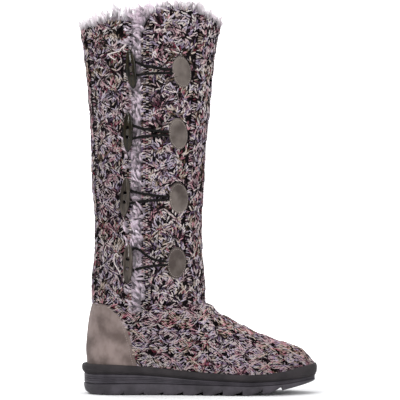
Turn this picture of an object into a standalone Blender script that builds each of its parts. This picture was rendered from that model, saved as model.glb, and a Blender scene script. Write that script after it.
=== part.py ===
"""Knee-high knitted boot for the right foot, with a side slit closed by four toggles.

Metres, +Z up, +X towards the toe, the outer (lateral) side towards -Y. The origin is on the floor
under the middle of the heel. The upper is one hollow wall on a last: its half-width is a function of
place along the foot and of height, so every overlay is cut from the same function.
"""

import math

import bpy
import numpy as np
from mathutils import Matrix, Vector

# Clearance between pieces that touch
GAP = 0.0003

# Last and shaft, measured outside the knit
FOOT_LENGTH = 0.2632
BALL_WIDTH = 0.088
ANKLE_HEIGHT = 0.1035
COLLAR_HEIGHT = 0.4396
COLLAR_DIP = 0.021
COLLAR_DEPTH = 0.162
COLLAR_WIDTH = 0.110
SHAFT_CENTRE = 0.0395
HEEL_HOLLOW = 0.0072
HEEL_ROUND = 0.034
TOE_ROUND = 0.056
TOE_SWING = 0.004
OVAL_POWER = 2.15
ANKLE_BLEND = 0.15
WALL = 0.004

# Sole, as a stack from the floor up, each thickness at the heel
OUTSOLE = 0.0125
MIDSOLE = 0.0112
WELT_HEIGHT = 0.0112
TOE_SPRING = 0.015
HEEL_PROJECTION = 0.0084
SIDE_PROJECTION = 0.0062
TOE_PROJECTION = 0.003
INSOLE = 0.005

# Tread: notches with a steep back and a long run, growing from the heel to the ball
LUG_PITCH = 0.0226
FIRST_NOTCH = -0.0112
NOTCHES = 10
NOTCH_DEPTH = 0.0042
NOTCH_RUN = 0.0125

# Side slit and its fur
SLIT_REAR = 0.0195
SLIT_WIDTH = 0.013
SLIT_BOTTOM = 0.092
SLIT_TAPER = 0.024
FLAP_CORNER_WIDTH = 0.028
FLAP_CORNER_HEIGHT = 0.0316
FUR_THICKNESS = 0.0035
FUR_LOFT = 0.0030
FUR_OVERLAP = 0.011
FUR_LOCK_PITCH = 0.0155
COLLAR_FUR_RISE = 0.0095
COLLAR_FUR_DEPTH = 0.022
COLLAR_FUR_THICKNESS = 0.0065
FUR_RUFFLE = 0.17
FUR_WAVES = 2.6

# Heel counter
COUNTER_HEIGHT = 0.1045
COUNTER_REACH = 0.0605
COUNTER_THICKNESS = 0.0013

# Closures
TOGGLE_LENGTH = 0.046
TOGGLE_WIDTH = 0.0115
TOGGLE_THICKNESS = 0.0062
HOLE_SPACING = 0.0102
HOLE_DIAMETER = 0.0044
THREAD_DIAMETER = 0.0016
CORD_DIAMETER = 0.003
PATCH_LENGTH = 0.0362
PATCH_WIDTH = 0.0215
PATCH_THICKNESS = 0.0015

SIDES = ("lateral", "medial")
OUTWARDS = {"lateral": -1.0, "medial": 1.0}

# Sampling of the faceted solids
RING_POINTS = 40
FOOT_ROWS = 11
SHAFT_ROWS = 16
CORD_STATIONS = 2.3


def table(names, *rows):
    """Rows of numbers as named columns."""
    return dict(zip(names.split(), np.array(rows, float).T))


# Shaft sections: height from ankle to collar, centre line's lean as a share of the collar's depth,
# depth and width as shares of the collar's.
SHAFT = table(
    "height lean depth width",
    (0.000, 0.000, 0.796, 0.773),
    (0.056, -0.005, 0.797, 0.764),
    (0.187, -0.004, 0.754, 0.745),
    (0.281, -0.004, 0.749, 0.755),
    (0.403, -0.007, 0.785, 0.791),
    (0.534, -0.004, 0.805, 0.836),
    (0.656, 0.004, 0.844, 0.891),
    (0.787, 0.004, 0.890, 0.945),
    (0.870, 0.004, 0.931, 0.973),
    (0.937, 0.009, 0.977, 0.991),
    (1.000, 0.012, 1.000, 1.000),
)

# Collar line: drop below the collar's peak as a share of its dip, from the back (-1) to the front (1)
COLLAR = table(
    "place lateral medial",
    (-1.00, 1.00, 1.00),
    (-0.75, 0.84, 0.88),
    (-0.48, 0.62, 0.74),
    (-0.28, 0.64, 0.62),
    (-0.12, 0.48, 0.54),
    (0.10, 0.13, 0.50),
    (0.40, 0.00, 0.48),
    (0.58, 0.05, 0.52),
    (0.74, 0.25, 0.60),
    (0.88, 0.54, 0.72),
    (1.00, 0.89, 0.89),
)

# Plan of the last: stations along the foot from the heel, half-widths as shares of the ball width
PLAN = table(
    "station lateral medial",
    (0.00, 0.372, 0.372),
    (0.15, 0.376, 0.376),
    (0.28, 0.372, 0.366),
    (0.38, 0.388, 0.360),
    (0.49, 0.430, 0.370),
    (0.60, 0.485, 0.435),
    (0.69, 0.510, 0.490),
    (0.78, 0.505, 0.515),
    (0.86, 0.475, 0.505),
    (0.93, 0.430, 0.465),
    (1.00, 0.380, 0.420),
)

# Heel curve: height from footbed to ankle, and how far it has come in from its rearmost point
HEEL = table(
    "height inset",
    (0.00, 0.36),
    (0.18, 0.15),
    (0.35, 0.00),
    (0.53, 0.14),
    (0.70, 0.33),
    (0.87, 0.64),
    (1.00, 1.00),
)

# Width of the ankle above the heel seat, as a share of its width at the ankle
ANKLE = table(
    "height width",
    (0.00, 0.80),
    (0.30, 0.84),
    (0.60, 0.91),
    (0.85, 0.97),
    (1.00, 1.00),
)

# Top line of the foot: stations from the front of the ankle to the toe, height from footbed to ankle,
# and the exponent that rounds the cross-section there. Negative stations run on inside the shaft.
VAMP = table(
    "station height round",
    (-0.90, 2.200, 1.80),
    (-0.25, 1.450, 1.80),
    (0.00, 1.000, 1.80),
    (0.06, 0.960, 1.80),
    (0.11, 0.886, 1.80),
    (0.205, 0.806, 1.82),
    (0.31, 0.730, 1.85),
    (0.41, 0.652, 1.88),
    (0.54, 0.571, 1.92),
    (0.685, 0.486, 2.00),
    (0.78, 0.436, 2.05),
    (0.86, 0.390, 2.10),
    (0.915, 0.308, 2.20),
    (0.97, 0.218, 2.30),
    (0.99, 0.165, 2.40),
    (1.00, 0.000, 2.40),
)

# Sole stack: stations from the back of the heel to the toe, each line as a share of its named size
SOLE = table(
    "station spring outsole midsole welt",
    (0.000, 0.45, 0.46, 1.00, 1.00),
    (0.022, 0.16, 0.81, 1.00, 1.00),
    (0.060, 0.00, 0.98, 1.00, 1.00),
    (0.240, 0.00, 1.04, 0.89, 0.91),
    (0.500, 0.00, 0.95, 0.50, 0.80),
    (0.690, 0.00, 0.87, 0.37, 0.77),
    (0.776, 0.14, 0.74, 0.36, 0.81),
    (0.850, 0.39, 0.55, 0.35, 0.93),
    (0.930, 0.70, 0.38, 0.30, 1.20),
    (1.000, 1.00, 0.20, 0.25, 1.33),
)

# Side walls of the sole: height inside the layer, and inset from the welt's edge as a share of the
# welt's side projection
OUTSOLE_WALL = table(
    "height inset",
    (0.00, 0.71),
    (0.22, 0.45),
    (0.80, 0.35),
    (0.93, 0.35),
    (1.00, 0.52),
)
MIDSOLE_WALL = table(
    "height inset",
    (0.00, 0.58),
    (0.14, 0.42),
    (0.42, 0.42),
    (0.50, 0.58),
    (0.58, 0.42),
    (0.86, 0.39),
    (1.00, 0.52),
)
WELT_WALL = table(
    "height inset",
    (0.00, 0.42),
    (0.16, 0.26),
    (0.50, 0.19),
    (0.68, 0.00),
    (0.88, 0.06),
    (1.00, 0.32),
)

# Front edge of the counter: height above the welt, reach round the heel
COUNTER = table(
    "height reach",
    (0.00, 1.000),
    (0.12, 0.955),
    (0.36, 0.880),
    (0.65, 0.760),
    (0.87, 0.560),
    (0.945, 0.450),
    (0.985, 0.320),
    (1.00, 0.180),
)

# Cross-section of the collar fur: outwards as a share of its thickness, upwards as a share of its
# rise or, below the collar line, of its depth. The first point lies against the knit.
COLLAR_FUR = table(
    "out up lock",
    (0.00, -1.00, 0.0),
    (0.00, 0.00, 0.0),
    (0.62, 0.00, 0.0),
    (0.86, 0.42, 1.0),
    (0.42, 0.92, 1.0),
    (-0.35, 1.00, 1.0),
    (-1.00, 0.45, 0.6),
    (-1.00, -0.25, 0.4),
    (-0.55, -1.00, 0.0),
)

# Toggle half-sections: place along its length, width and thickness shares
TOGGLE = table(
    "place width thickness",
    (-0.50, 0.16, 0.22),
    (-0.46, 0.44, 0.48),
    (-0.34, 0.76, 0.76),
    (-0.18, 0.96, 0.96),
    (0.00, 1.00, 1.00),
    (0.18, 0.96, 0.96),
    (0.34, 0.76, 0.76),
    (0.46, 0.44, 0.48),
    (0.50, 0.16, 0.22),
)

# The four closures from the top down: heights of toggle and patch as shares of the collar's height,
# how far the toggle's middle lies behind the slit's rear edge in slit widths, and the patch's middle
# ahead of its front edge in patch widths, both pieces' tilt in degrees with the top leaning back, and
# how far the upper strand bows up in cord diameters.
CLOSURES = table(
    "toggle_height patch_height set_back reach toggle_tilt patch_tilt bow",
    (0.8462, 0.8394, -0.158, 2.086, 6.0, 9.0, 0.00),
    (0.6836, 0.6790, 0.118, 1.900, -1.0, 5.0, 0.00),
    (0.5152, 0.5118, 0.360, 1.930, -4.5, 4.0, 0.00),
    (0.3412, 0.3435, 0.140, 1.817, -2.5, -2.0, 3.67),
)

# Route of a cord from the patch round behind the toggle: free stretch as shares of the way from
# patch to toggle, upwards in cord diameters, and its share of the bow
CORD_STRAND = table(
    "share up bow",
    (1.00, 0.60, 0.00),
    (0.80, 0.70, 0.05),
    (0.60, 0.98, 0.20),
    (0.42, 1.32, 0.55),
    (0.28, 1.68, 0.95),
)
# Then round the shank, in half hole spacings
CORD_BIGHT = table(
    "along up bow",
    (1.25, 1.34, 1.00),
    (0.42, 1.58, 0.55),
    (-0.52, 1.42, 0.20),
    (-1.12, 0.82, 0.05),
    (-1.30, 0.00, 0.00),
)


def smooth(places, values):
    """A curve through the points with no overshoot: cubic pieces whose slopes are harmonic means."""
    step = np.diff(places)
    slope = np.diff(values) / step
    ends = np.concatenate([slope[:1], slope, slope[-1:]])
    before, after = ends[:-1], ends[1:]
    same_way = before * after > 0
    safe = np.where(same_way, before + after, 1.0)
    tangent = np.where(same_way, 2 * before * after / safe, 0.0)

    def curve(x):
        x = np.asarray(x, float)
        piece = np.clip(np.searchsorted(places, x, side="right") - 1, 0, len(step) - 1)
        width = step[piece]
        t = np.clip((x - places[piece]) / width, 0.0, 1.0)
        start, end = values[piece], values[piece + 1]
        return (
            start * (1 + 2 * t) * (1 - t) ** 2
            + end * t * t * (3 - 2 * t)
            + width * (tangent[piece] * t * (1 - t) ** 2 - tangent[piece + 1] * t * t * (1 - t))
        )

    return curve


def curves(rows, first):
    """A smooth curve for each column of a table over its first column."""
    return {name: smooth(rows[first], rows[name]) for name in rows if name != first}


shaft = curves(SHAFT, "height")
collar = curves(COLLAR, "place")
plan = curves(PLAN, "station")
heel = curves(HEEL, "height")
ankle = curves(ANKLE, "height")
vamp = curves(VAMP, "station")
sole = curves(SOLE, "station")
counter = curves(COUNTER, "height")


def round_off(distance, power=2.0):
    """Rises from 0 at an end to 1 a full radius away, along a quarter of a rounded outline."""
    near = 1 - np.clip(distance, 0.0, 1.0)
    return (1 - near**power) ** (1 / power)


# Ends of the shaft at a height, and of the foot at the ankle
def shaft_share(z):
    return np.clip((z - ANKLE_HEIGHT) / (COLLAR_HEIGHT - ANKLE_HEIGHT), 0.0, 1.0)


def shaft_centre(z):
    return SHAFT_CENTRE + COLLAR_DEPTH * shaft["lean"](shaft_share(z))


def shaft_half_depth(z):
    return COLLAR_DEPTH / 2 * shaft["depth"](shaft_share(z))


ANKLE_BACK = float(shaft_centre(ANKLE_HEIGHT) - shaft_half_depth(ANKLE_HEIGHT))
ANKLE_FRONT = float(shaft_centre(ANKLE_HEIGHT) + shaft_half_depth(ANKLE_HEIGHT))
HEEL_BACK = ANKLE_BACK - HEEL_HOLLOW
TOE = HEEL_BACK + FOOT_LENGTH
FEATHER_BACK = HEEL_BACK + HEEL_HOLLOW * float(heel["inset"](0.0))
SOLE_BACK = FEATHER_BACK - HEEL_PROJECTION
SOLE_LENGTH = TOE + TOE_PROJECTION - SOLE_BACK
SLIT_FRONT = SLIT_REAR + SLIT_WIDTH


# Heights of the sole's lines at a place along it
def sole_share(x):
    return (x - SOLE_BACK) / SOLE_LENGTH


def floor_line(x):
    return TOE_SPRING * sole["spring"](sole_share(x))


def groove_line(x):
    return floor_line(x) + OUTSOLE * sole["outsole"](sole_share(x))


def footbed_line(x):
    return groove_line(x) + MIDSOLE * sole["midsole"](sole_share(x))


def welt_line(x):
    return footbed_line(x) + WELT_HEIGHT * sole["welt"](sole_share(x))


def foot_level(x, z):
    """0 on the footbed, 1 at the ankle's height, and on upwards."""
    bed = footbed_line(x) + GAP
    return (z - bed) / (ANKLE_HEIGHT - bed)


def heel_curve(level):
    return HEEL_BACK + HEEL_HOLLOW * heel["inset"](np.clip(level, 0.0, 1.0))


def top_line(x):
    """Level of the foot's top line above a place along the foot."""
    return vamp["height"]((x - ANKLE_FRONT) / (TOE - ANKLE_FRONT))


TOP_PLACES = np.linspace(ANKLE_FRONT, TOE, 400)
TOP_LEVELS = top_line(TOP_PLACES)


def front_of(level):
    """Where a level of the foot meets the top line."""
    return np.interp(level, TOP_LEVELS[::-1], TOP_PLACES[::-1])


def middle(x):
    """The foot's middle line swings inwards ahead of the ankle."""
    ahead = np.clip((x - ANKLE_FRONT) / (TOE - ANKLE_FRONT), 0.0, 1.0)
    return TOE_SWING * ahead * ahead


def foot_half_width(x, level, side):
    """The foot: the last's plan, rounded at heel and toe, times an arch up to the top line."""
    wide = BALL_WIDTH * plan[side]((x - HEEL_BACK) / FOOT_LENGTH)
    ends = round_off((x - heel_curve(level)) / HEEL_ROUND) * round_off((TOE - x) / TOE_ROUND, 2.3)
    power = vamp["round"]((x - ANKLE_FRONT) / (TOE - ANKLE_FRONT))
    share = np.clip(level / np.maximum(top_line(x), 1e-6), 0.0, 1.0)
    return wide * ends * (1 - share**power) ** (1 / power)


def half_width(x, z, side):
    """Half-width at a place and height: the shaft's oval, which passes into the foot's arch."""
    level = foot_level(x, z)
    below = level < 1
    back = np.where(below, heel_curve(level), shaft_centre(z) - shaft_half_depth(z))
    front = np.where(below, front_of(level), shaft_centre(z) + shaft_half_depth(z))
    away = np.clip(np.abs((2 * x - back - front) / (front - back)), 0.0, 1.0)
    narrowing = ankle["width"](np.clip(level, 0.0, 1.0))
    full = COLLAR_WIDTH / 2 * shaft["width"](shaft_share(z)) * narrowing
    oval = full * (1 - away**OVAL_POWER) ** (1 / OVAL_POWER)
    rise = np.clip((level - ANKLE_BLEND) / (1 - ANKLE_BLEND), 0.0, 1.0)
    share = rise * rise * (3 - 2 * rise)
    return np.where(below, foot_half_width(x, level, side) * (1 - share) + oval * share, oval)


def collar_line(place, side):
    return COLLAR_HEIGHT - COLLAR_DIP * collar[side](place)


def side_point(x, z, lift=0.0, side="lateral"):
    """A point on the boot's side, lifted off it along the normal."""
    step = 2 * GAP
    out = OUTWARDS[side]
    wide = half_width(x, z, side)
    along_x = (half_width(x + step, z, side) - half_width(x - step, z, side)) / (2 * step)
    along_z = (half_width(x, z + step, side) - half_width(x, z - step, side)) / (2 * step)
    swing = (middle(x + step) - middle(x - step)) / (2 * step)
    normal = np.stack([-along_x - out * swing, out + 0 * along_x, -along_z], -1)
    normal /= np.linalg.norm(normal, axis=-1, keepdims=True)
    return np.stack([x + 0 * wide, middle(x) + out * wide, z + 0 * wide], -1) + lift * normal


def ring(back, front, height_at, wide_at, count=RING_POINTS):
    """A closed section: back, lateral side, front, medial side. Points crowd at both ends."""
    turn = 2 * math.pi * np.arange(count) / count
    place = -np.cos(turn)
    x = (back + front) / 2 + (front - back) / 2 * place
    points = []
    for along, angle, spot in zip(x, turn, place):
        side = "lateral" if angle <= math.pi else "medial"
        z = float(height_at(along, spot, side))
        wide = float(wide_at(along, z, side)) * (abs(math.sin(angle)) > 1e-9)
        points.append((along, float(middle(along)) + OUTWARDS[side] * wide, z))
    return np.array(points)


def foot_ring(level):
    """A section of the foot that leans from the footbed at level 0 to the ankle's height at 1."""

    def height_at(x, place, side):
        bed = footbed_line(x) + GAP
        return bed + level * (ANKLE_HEIGHT - bed)

    return ring(float(heel_curve(level)), float(front_of(level)), height_at, half_width)


def shaft_ring(share):
    """A section of the shaft, a share of the way from the ankle up to the collar line."""
    turn = 2 * math.pi * np.arange(RING_POINTS) / RING_POINTS
    points = []
    for angle in turn:
        place = -math.cos(angle)
        side = "lateral" if angle <= math.pi else "medial"
        z = ANKLE_HEIGHT + share * (float(collar_line(place, side)) - ANKLE_HEIGHT)
        x = float(shaft_centre(z)) + float(shaft_half_depth(z)) * place
        wide = float(half_width(x, z, side)) * (abs(math.sin(angle)) > 1e-9)
        points.append((x, OUTWARDS[side] * wide, z))
    return np.array(points)


def grid_normals(rows):
    """Outward normals of stacked rings, from the directions along and across them."""
    around = np.roll(rows, -1, axis=1) - np.roll(rows, 1, axis=1)
    up = np.gradient(rows, axis=0)
    normal = np.cross(around, up)
    return normal / np.maximum(np.linalg.norm(normal, axis=2, keepdims=True), 1e-12)


def outer_rows():
    """The upper's outer skin as rings from the footbed up to the collar."""
    levels = 1 - (1 - np.linspace(0, 1, FOOT_ROWS)) ** 1.12
    shares = np.linspace(0, 1, SHAFT_ROWS + 1)[1:]
    return np.array([foot_ring(v) for v in levels] + [shaft_ring(v) for v in shares])


UPPER_ROWS = outer_rows()


def offset_rows(rows, inwards):
    """The same rings moved inwards, no lower than the footbed at their own place."""
    moved = rows - inwards * grid_normals(rows)
    moved[0, :, 2] = rows[0, :, 2]
    moved[-1, :, 2] = rows[-1, :, 2]
    return moved


def welt_edge(inset=0.0):
    """The sole's plan outline: the upper's feather line plus the welt's projection, less an inset."""
    feather = foot_ring(0.0)
    around = np.roll(feather, -1, axis=0) - np.roll(feather, 1, axis=0)
    normal = np.stack([around[:, 1], -around[:, 0]], 1)
    normal /= np.linalg.norm(normal, axis=1, keepdims=True)
    share = (feather[:, 0] - FEATHER_BACK) / (TOE - FEATHER_BACK)
    to_side = np.clip(np.minimum(share, 1 - share) / 0.16, 0.0, 1.0)
    end = np.where(share < 0.5, HEEL_PROJECTION, TOE_PROJECTION)
    reach = end + (SIDE_PROJECTION - end) * to_side * to_side * (3 - 2 * to_side)
    return feather[:, :2] + normal * (reach - inset)[:, None]


def material(name, colour, roughness, metallic=0.0):
    made = bpy.data.materials.new(name)
    made.use_nodes = True
    shader = made.node_tree.nodes["Principled BSDF"]
    shader.inputs["Base Color"].default_value = (*colour, 1.0)
    shader.inputs["Roughness"].default_value = roughness
    shader.inputs["Metallic"].default_value = metallic
    return made


def add_object(name, data, finish):
    made = bpy.data.objects.new(name, data)
    bpy.context.scene.collection.objects.link(made)
    if not data.materials:
        data.materials.append(finish)
    made.parent = boot
    return made


def build_mesh(name, points, faces):
    """A closed mesh with its faces turned outwards, shaded smooth where it is round."""
    mesh = bpy.data.meshes.new(name)
    mesh.from_pydata([tuple(p) for p in points], [], faces)
    signed = 0.0
    for face in mesh.polygons:
        corners = [Vector(points[i]) for i in face.vertices]
        for second, third in zip(corners[1:], corners[2:]):
            signed += corners[0].dot(second.cross(third))
    if signed < 0:
        mesh.flip_normals()
    mesh.shade_smooth()
    mesh.set_sharp_from_angle(angle=math.radians(40))
    return mesh


def band_faces(count, lower, upper):
    """Quads between two closed rings whose points start at these indices."""
    return [
        (lower + i, lower + (i + 1) % count, upper + (i + 1) % count, upper + i) for i in range(count)
    ]


def loop_solid(name, rings, finish):
    """Rings joined each to the next and the last to the first: a tube bent round on itself."""
    count = len(rings[0])
    faces = []
    for i in range(len(rings)):
        faces += band_faces(count, i * count, (i + 1) % len(rings) * count)
    return add_object(name, build_mesh(name, np.concatenate(rings), faces), finish)


def cap_faces(count, start, flip):
    """A lid across a ring, as strips between its lateral and medial points."""
    half = count // 2
    faces = [(start, start + 1, start + count - 1)]
    for i in range(1, half - 1):
        faces.append((start + i, start + i + 1, start + count - i - 1, start + count - i))
    faces.append((start + half - 1, start + half, start + half + 1))
    return [face[::-1] for face in faces] if flip else faces


def stack_solid(name, rings, finish):
    """Rings stacked into a slab with a lid at each end."""
    count = len(rings[0])
    faces = []
    for i in range(len(rings) - 1):
        faces += band_faces(count, i * count, (i + 1) * count)
    faces += cap_faces(count, 0, True)
    faces += cap_faces(count, (len(rings) - 1) * count, False)
    return add_object(name, build_mesh(name, np.concatenate(rings), faces), finish)


def sheet_solid(name, outer, inner, finish):
    """Two matching grids of points, as the outer and inner face of one sheet with its rim closed."""
    rows, columns = outer.shape[:2]
    points = np.concatenate([outer.reshape(-1, 3), inner.reshape(-1, 3)])
    size = rows * columns
    faces = []
    for i in range(rows - 1):
        for j in range(columns - 1):
            a, b = i * columns + j, i * columns + j + 1
            c, d = b + columns, a + columns
            faces.append((a, b, c, d))
            faces.append((size + d, size + c, size + b, size + a))
    rim = (
        [j for j in range(columns)]
        + [i * columns + columns - 1 for i in range(1, rows)]
        + [(rows - 1) * columns + j for j in range(columns - 2, -1, -1)]
        + [i * columns for i in range(rows - 2, 0, -1)]
    )
    for a, b in zip(rim, rim[1:] + rim[:1]):
        faces.append((b, a, size + a, size + b))
    return add_object(name, build_mesh(name, points, faces), finish)


def prism(name, outline, low, high):
    """An outline in X and Z, drawn out from one Y to another: a cutter."""
    count = len(outline)
    points = [(x, low, z) for x, z in outline] + [(x, high, z) for x, z in outline]
    faces = band_faces(count, 0, count)
    faces += [tuple(range(count)), tuple(range(2 * count - 1, count - 1, -1))]
    made = add_object(name, build_mesh(name, points, faces), knit)
    made.hide_render = True
    made.display_type = "WIRE"
    return made


def cut(target, cutter, operation="DIFFERENCE"):
    made = target.modifiers.new(cutter.name, "BOOLEAN")
    made.operation = operation
    made.solver = "EXACT"
    made.object = cutter


def keep(target, cutter):
    """Keeps only what lies inside the cutter."""
    cut(target, cutter, "INTERSECT")


# The upper: a hollow wall open at the collar, along the slit and underneath
def slit_half_width(z):
    """The slit closes in a round end over its last stretch."""
    return SLIT_WIDTH / 2 * round_off((z - SLIT_BOTTOM) / SLIT_TAPER)


def slit_outline():
    """Up the slit's rear edge, over the top, and down round the front flap's corner."""
    centre = SLIT_REAR + SLIT_WIDTH / 2
    rise = SLIT_BOTTOM + SLIT_TAPER * np.array([0.0, 0.06, 0.2, 0.5, 1.0])
    top = COLLAR_HEIGHT + COLLAR_FUR_RISE
    rear = [(centre - float(slit_half_width(z)), z) for z in rise]
    turn = np.linspace(math.pi / 2, 0.0, 7)
    corner = [
        (
            SLIT_FRONT + FLAP_CORNER_WIDTH * (1 - math.cos(a)),
            COLLAR_HEIGHT - FLAP_CORNER_HEIGHT * (1 - math.sin(a)),
        )
        for a in turn
    ]
    front = [(centre + float(slit_half_width(z)), z) for z in rise[:0:-1]]
    return rear + [(SLIT_REAR, top), (SLIT_FRONT + FLAP_CORNER_WIDTH, top)] + corner + front


def make_upper():
    inner = offset_rows(UPPER_ROWS, WALL)
    upper = loop_solid("upper", list(UPPER_ROWS) + list(inner[::-1]), knit)
    cut(upper, prism("slit_cutter", slit_outline(), -COLLAR_WIDTH, -WALL))
    return upper


# The sole: outsole with its tread, midsole, welt and insole
def wall_rings(wall, bottom_at, top_at):
    """Plan rings of one layer, one for each row of its side wall."""
    rings = []
    for height, inset in zip(wall["height"], wall["inset"]):
        edge = welt_edge(inset * SIDE_PROJECTION)
        low, high = bottom_at(edge[:, 0]), top_at(edge[:, 0])
        rings.append(np.column_stack([edge, low + height * (high - low)]))
    return rings


def notch_outline(index):
    """A steep face at its front and a long run behind, cut up into the tread."""
    grown = min(1.0, 0.34 + 0.11 * index)
    x = FIRST_NOTCH + LUG_PITCH * index
    floor = float(floor_line(x))
    behind = float(floor_line(x - NOTCH_RUN * grown))
    below = 2 * NOTCH_DEPTH
    return [
        (x, floor - below),
        (x, floor + NOTCH_DEPTH * grown),
        (x - NOTCH_RUN * grown, behind),
        (x - NOTCH_RUN * grown, behind - below),
    ]


def make_outsole():
    outsole = stack_solid("outsole", wall_rings(OUTSOLE_WALL, floor_line, groove_line), rubber)
    for index in range(NOTCHES):
        cutter = prism(f"notch_cutter_{index + 1}", notch_outline(index), -BALL_WIDTH, BALL_WIDTH)
        cut(outsole, cutter)
    return outsole


def make_midsole():
    rings = wall_rings(MIDSOLE_WALL, lambda x: groove_line(x) + GAP, footbed_line)
    return stack_solid("midsole", rings, foam)


def level_ring(height_at, offset):
    """The upper's outline at a height above the footbed, moved out by an offset in plan."""
    rings = UPPER_ROWS[: FOOT_ROWS // 2]
    count = rings.shape[1]
    points = np.empty((count, 3))
    for i in range(count):
        column = rings[:, i]
        z = float(height_at(column[0, 0]))
        points[i] = [
            np.interp(z, column[:, 2], column[:, 0]),
            np.interp(z, column[:, 2], column[:, 1]),
            z,
        ]
    around = np.roll(points, -1, axis=0) - np.roll(points, 1, axis=0)
    normal = np.stack([around[:, 1], -around[:, 0], 0 * around[:, 0]], 1)
    normal /= np.linalg.norm(normal, axis=1, keepdims=True)
    return points + offset * normal


def make_welt():
    outer = wall_rings(WELT_WALL, lambda x: footbed_line(x) + GAP, welt_line)
    inner = []
    for share in (1.0, 0.66, 0.33, 0.0):
        inner.append(
            level_ring(
                lambda x: footbed_line(x) + GAP + share * (welt_line(x) - footbed_line(x) - GAP),
                2 * GAP,
            )
        )
    return loop_solid("welt", outer + inner, foxing)


def make_insole():
    inset = WALL + 2 * GAP
    rings = [
        level_ring(lambda x: footbed_line(x) + GAP + share * INSOLE, -inset) for share in (0.0, 0.7)
    ]
    rings.append(level_ring(lambda x: footbed_line(x) + GAP + INSOLE, -inset - INSOLE / 3))
    return stack_solid("insole", rings, fur)


# The heel counter: cut by its side outline from between two larger forms of the upper
def counter_outline():
    """Along the welt from behind the heel, then up and back over the counter's front edge."""
    start = SOLE_BACK - HEEL_PROJECTION
    end = HEEL_BACK + COUNTER_REACH
    along = [(x, float(welt_line(x)) + 2 * GAP) for x in np.linspace(start, end, 9)]
    foot = along[-1][1]
    edge = [
        (HEEL_BACK + COUNTER_REACH * float(counter["reach"](share)), foot + share * (COUNTER_HEIGHT - foot))
        for share in np.linspace(0.0, 1.0, 18)[1:]
    ]
    return along + edge + [(start, COUNTER_HEIGHT)]


def make_counter():
    rows = UPPER_ROWS[: FOOT_ROWS + 2]
    inner = offset_rows(rows, -2 * GAP)
    outer = offset_rows(rows, -2 * GAP - COUNTER_THICKNESS)
    blank = loop_solid("heel_counter", list(outer) + list(inner[::-1]), suede)
    keep(blank, prism("counter_cutter", counter_outline(), -BALL_WIDTH, BALL_WIDTH))
    return blank


# Fur: the collar's roll and the strip behind the slit, with their locks
def doubled(points):
    """A closed ring with a point added halfway along each side."""
    halfway = (points + np.roll(points, -1, axis=0)) / 2
    return np.stack([points, halfway], 1).reshape(-1, 3)


def make_fur_collar():
    """A roll that lines the collar and stands above it, its locks at the upper's columns."""
    top = doubled(shaft_ring(1.0))
    under = doubled(shaft_ring(1.0 - 1.0 / SHAFT_ROWS))
    around = np.roll(top, -1, axis=0) - np.roll(top, 1, axis=0)
    normal = np.stack([around[:, 1], -around[:, 0], 0 * around[:, 0]], 1)
    normal /= np.linalg.norm(normal, axis=1, keepdims=True)
    spots = np.arange(len(top))
    tuft = np.where(spots % 2, 0.5, -0.5) * (1.0 + 0.4 * np.sin(FUR_WAVES * spots))
    rings = []
    for out, up, lock in zip(COLLAR_FUR["out"], COLLAR_FUR["up"], COLLAR_FUR["lock"]):
        drop = max(-up, 0.0) * COLLAR_FUR_DEPTH / (top[:, 2:] - under[:, 2:])
        base = top + (under - top) * drop
        reach = (out + FUR_RUFFLE * lock * tuft) * COLLAR_FUR_THICKNESS - WALL - 2 * GAP
        points = base + reach[:, None] * normal
        points[:, 2] += GAP + COLLAR_FUR_RISE * (max(up, 0.0) + 2 * FUR_RUFFLE * lock * tuft)
        rings.append(points)
    return loop_solid("fur_collar", rings, fur)


def make_fur_gusset():
    """A strip behind both edges of the slit, swelling into rows of locks between them."""
    low = SLIT_BOTTOM - FUR_OVERLAP / 2
    place = (SLIT_REAR - shaft_centre(COLLAR_HEIGHT)) / shaft_half_depth(COLLAR_HEIGHT)
    high = float(collar_line(float(place), "lateral")) - COLLAR_FUR_DEPTH - 3 * GAP
    rows = 2 * round((high - low) / FUR_LOCK_PITCH / 2) * 2 + 1
    heights = np.linspace(low, high, rows)
    columns = 8
    outer = np.empty((rows, columns, 3))
    inner = np.empty((rows, columns, 3))
    behind = -WALL - 3 * GAP
    centre = SLIT_REAR + SLIT_WIDTH / 2
    for i, z in enumerate(heights):
        half_gap = float(slit_half_width(z)) - 2 * GAP
        open_here = half_gap > 0.25 * SLIT_WIDTH
        half_gap = max(half_gap, 0.15 * SLIT_WIDTH)
        swell = FUR_LOFT if open_here and i < rows - 1 else 0.0
        lock = 1.0 if i % 2 else 0.55
        across = [
            (-SLIT_WIDTH / 2 - FUR_OVERLAP, 0.0),
            (-half_gap, 0.0),
            (-0.93 * half_gap, 0.9 * lock),
            (-0.34 * half_gap, 1.0 if lock > 0.9 else 0.7),
            (0.34 * half_gap, 0.7 if lock > 0.9 else 1.0),
            (0.93 * half_gap, 0.9 * (1.55 - lock)),
            (half_gap, 0.0),
            (SLIT_WIDTH / 2 + FUR_OVERLAP, 0.0),
        ]
        for j, (offset, share) in enumerate(across):
            x = centre + offset
            outer[i, j] = side_point(x, z, behind + share * swell)
            inner[i, j] = side_point(x, z, behind - FUR_THICKNESS)
    return sheet_solid("fur_gusset", outer, inner, fur)


# Closures: toggles, the threads that hold them, cords and suede patches
def seat_frame(x, z, lift, tilt):
    """A frame on the boot's outer side: X along the piece's width, Y up its length, Z outwards."""
    step = THREAD_DIAMETER
    origin = Vector(side_point(x, z, lift))
    up = Vector(side_point(x, z + step, lift)) - Vector(side_point(x, z - step, lift))
    along = Vector(side_point(x + step, z, lift)) - Vector(side_point(x - step, z, lift))
    normal = along.cross(up).normalized()
    up.normalize()
    basis = Matrix((up.cross(normal), up, normal)).transposed()
    return Matrix.Translation(origin) @ basis.to_4x4() @ Matrix.Rotation(math.radians(tilt), 4, "Z")


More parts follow.
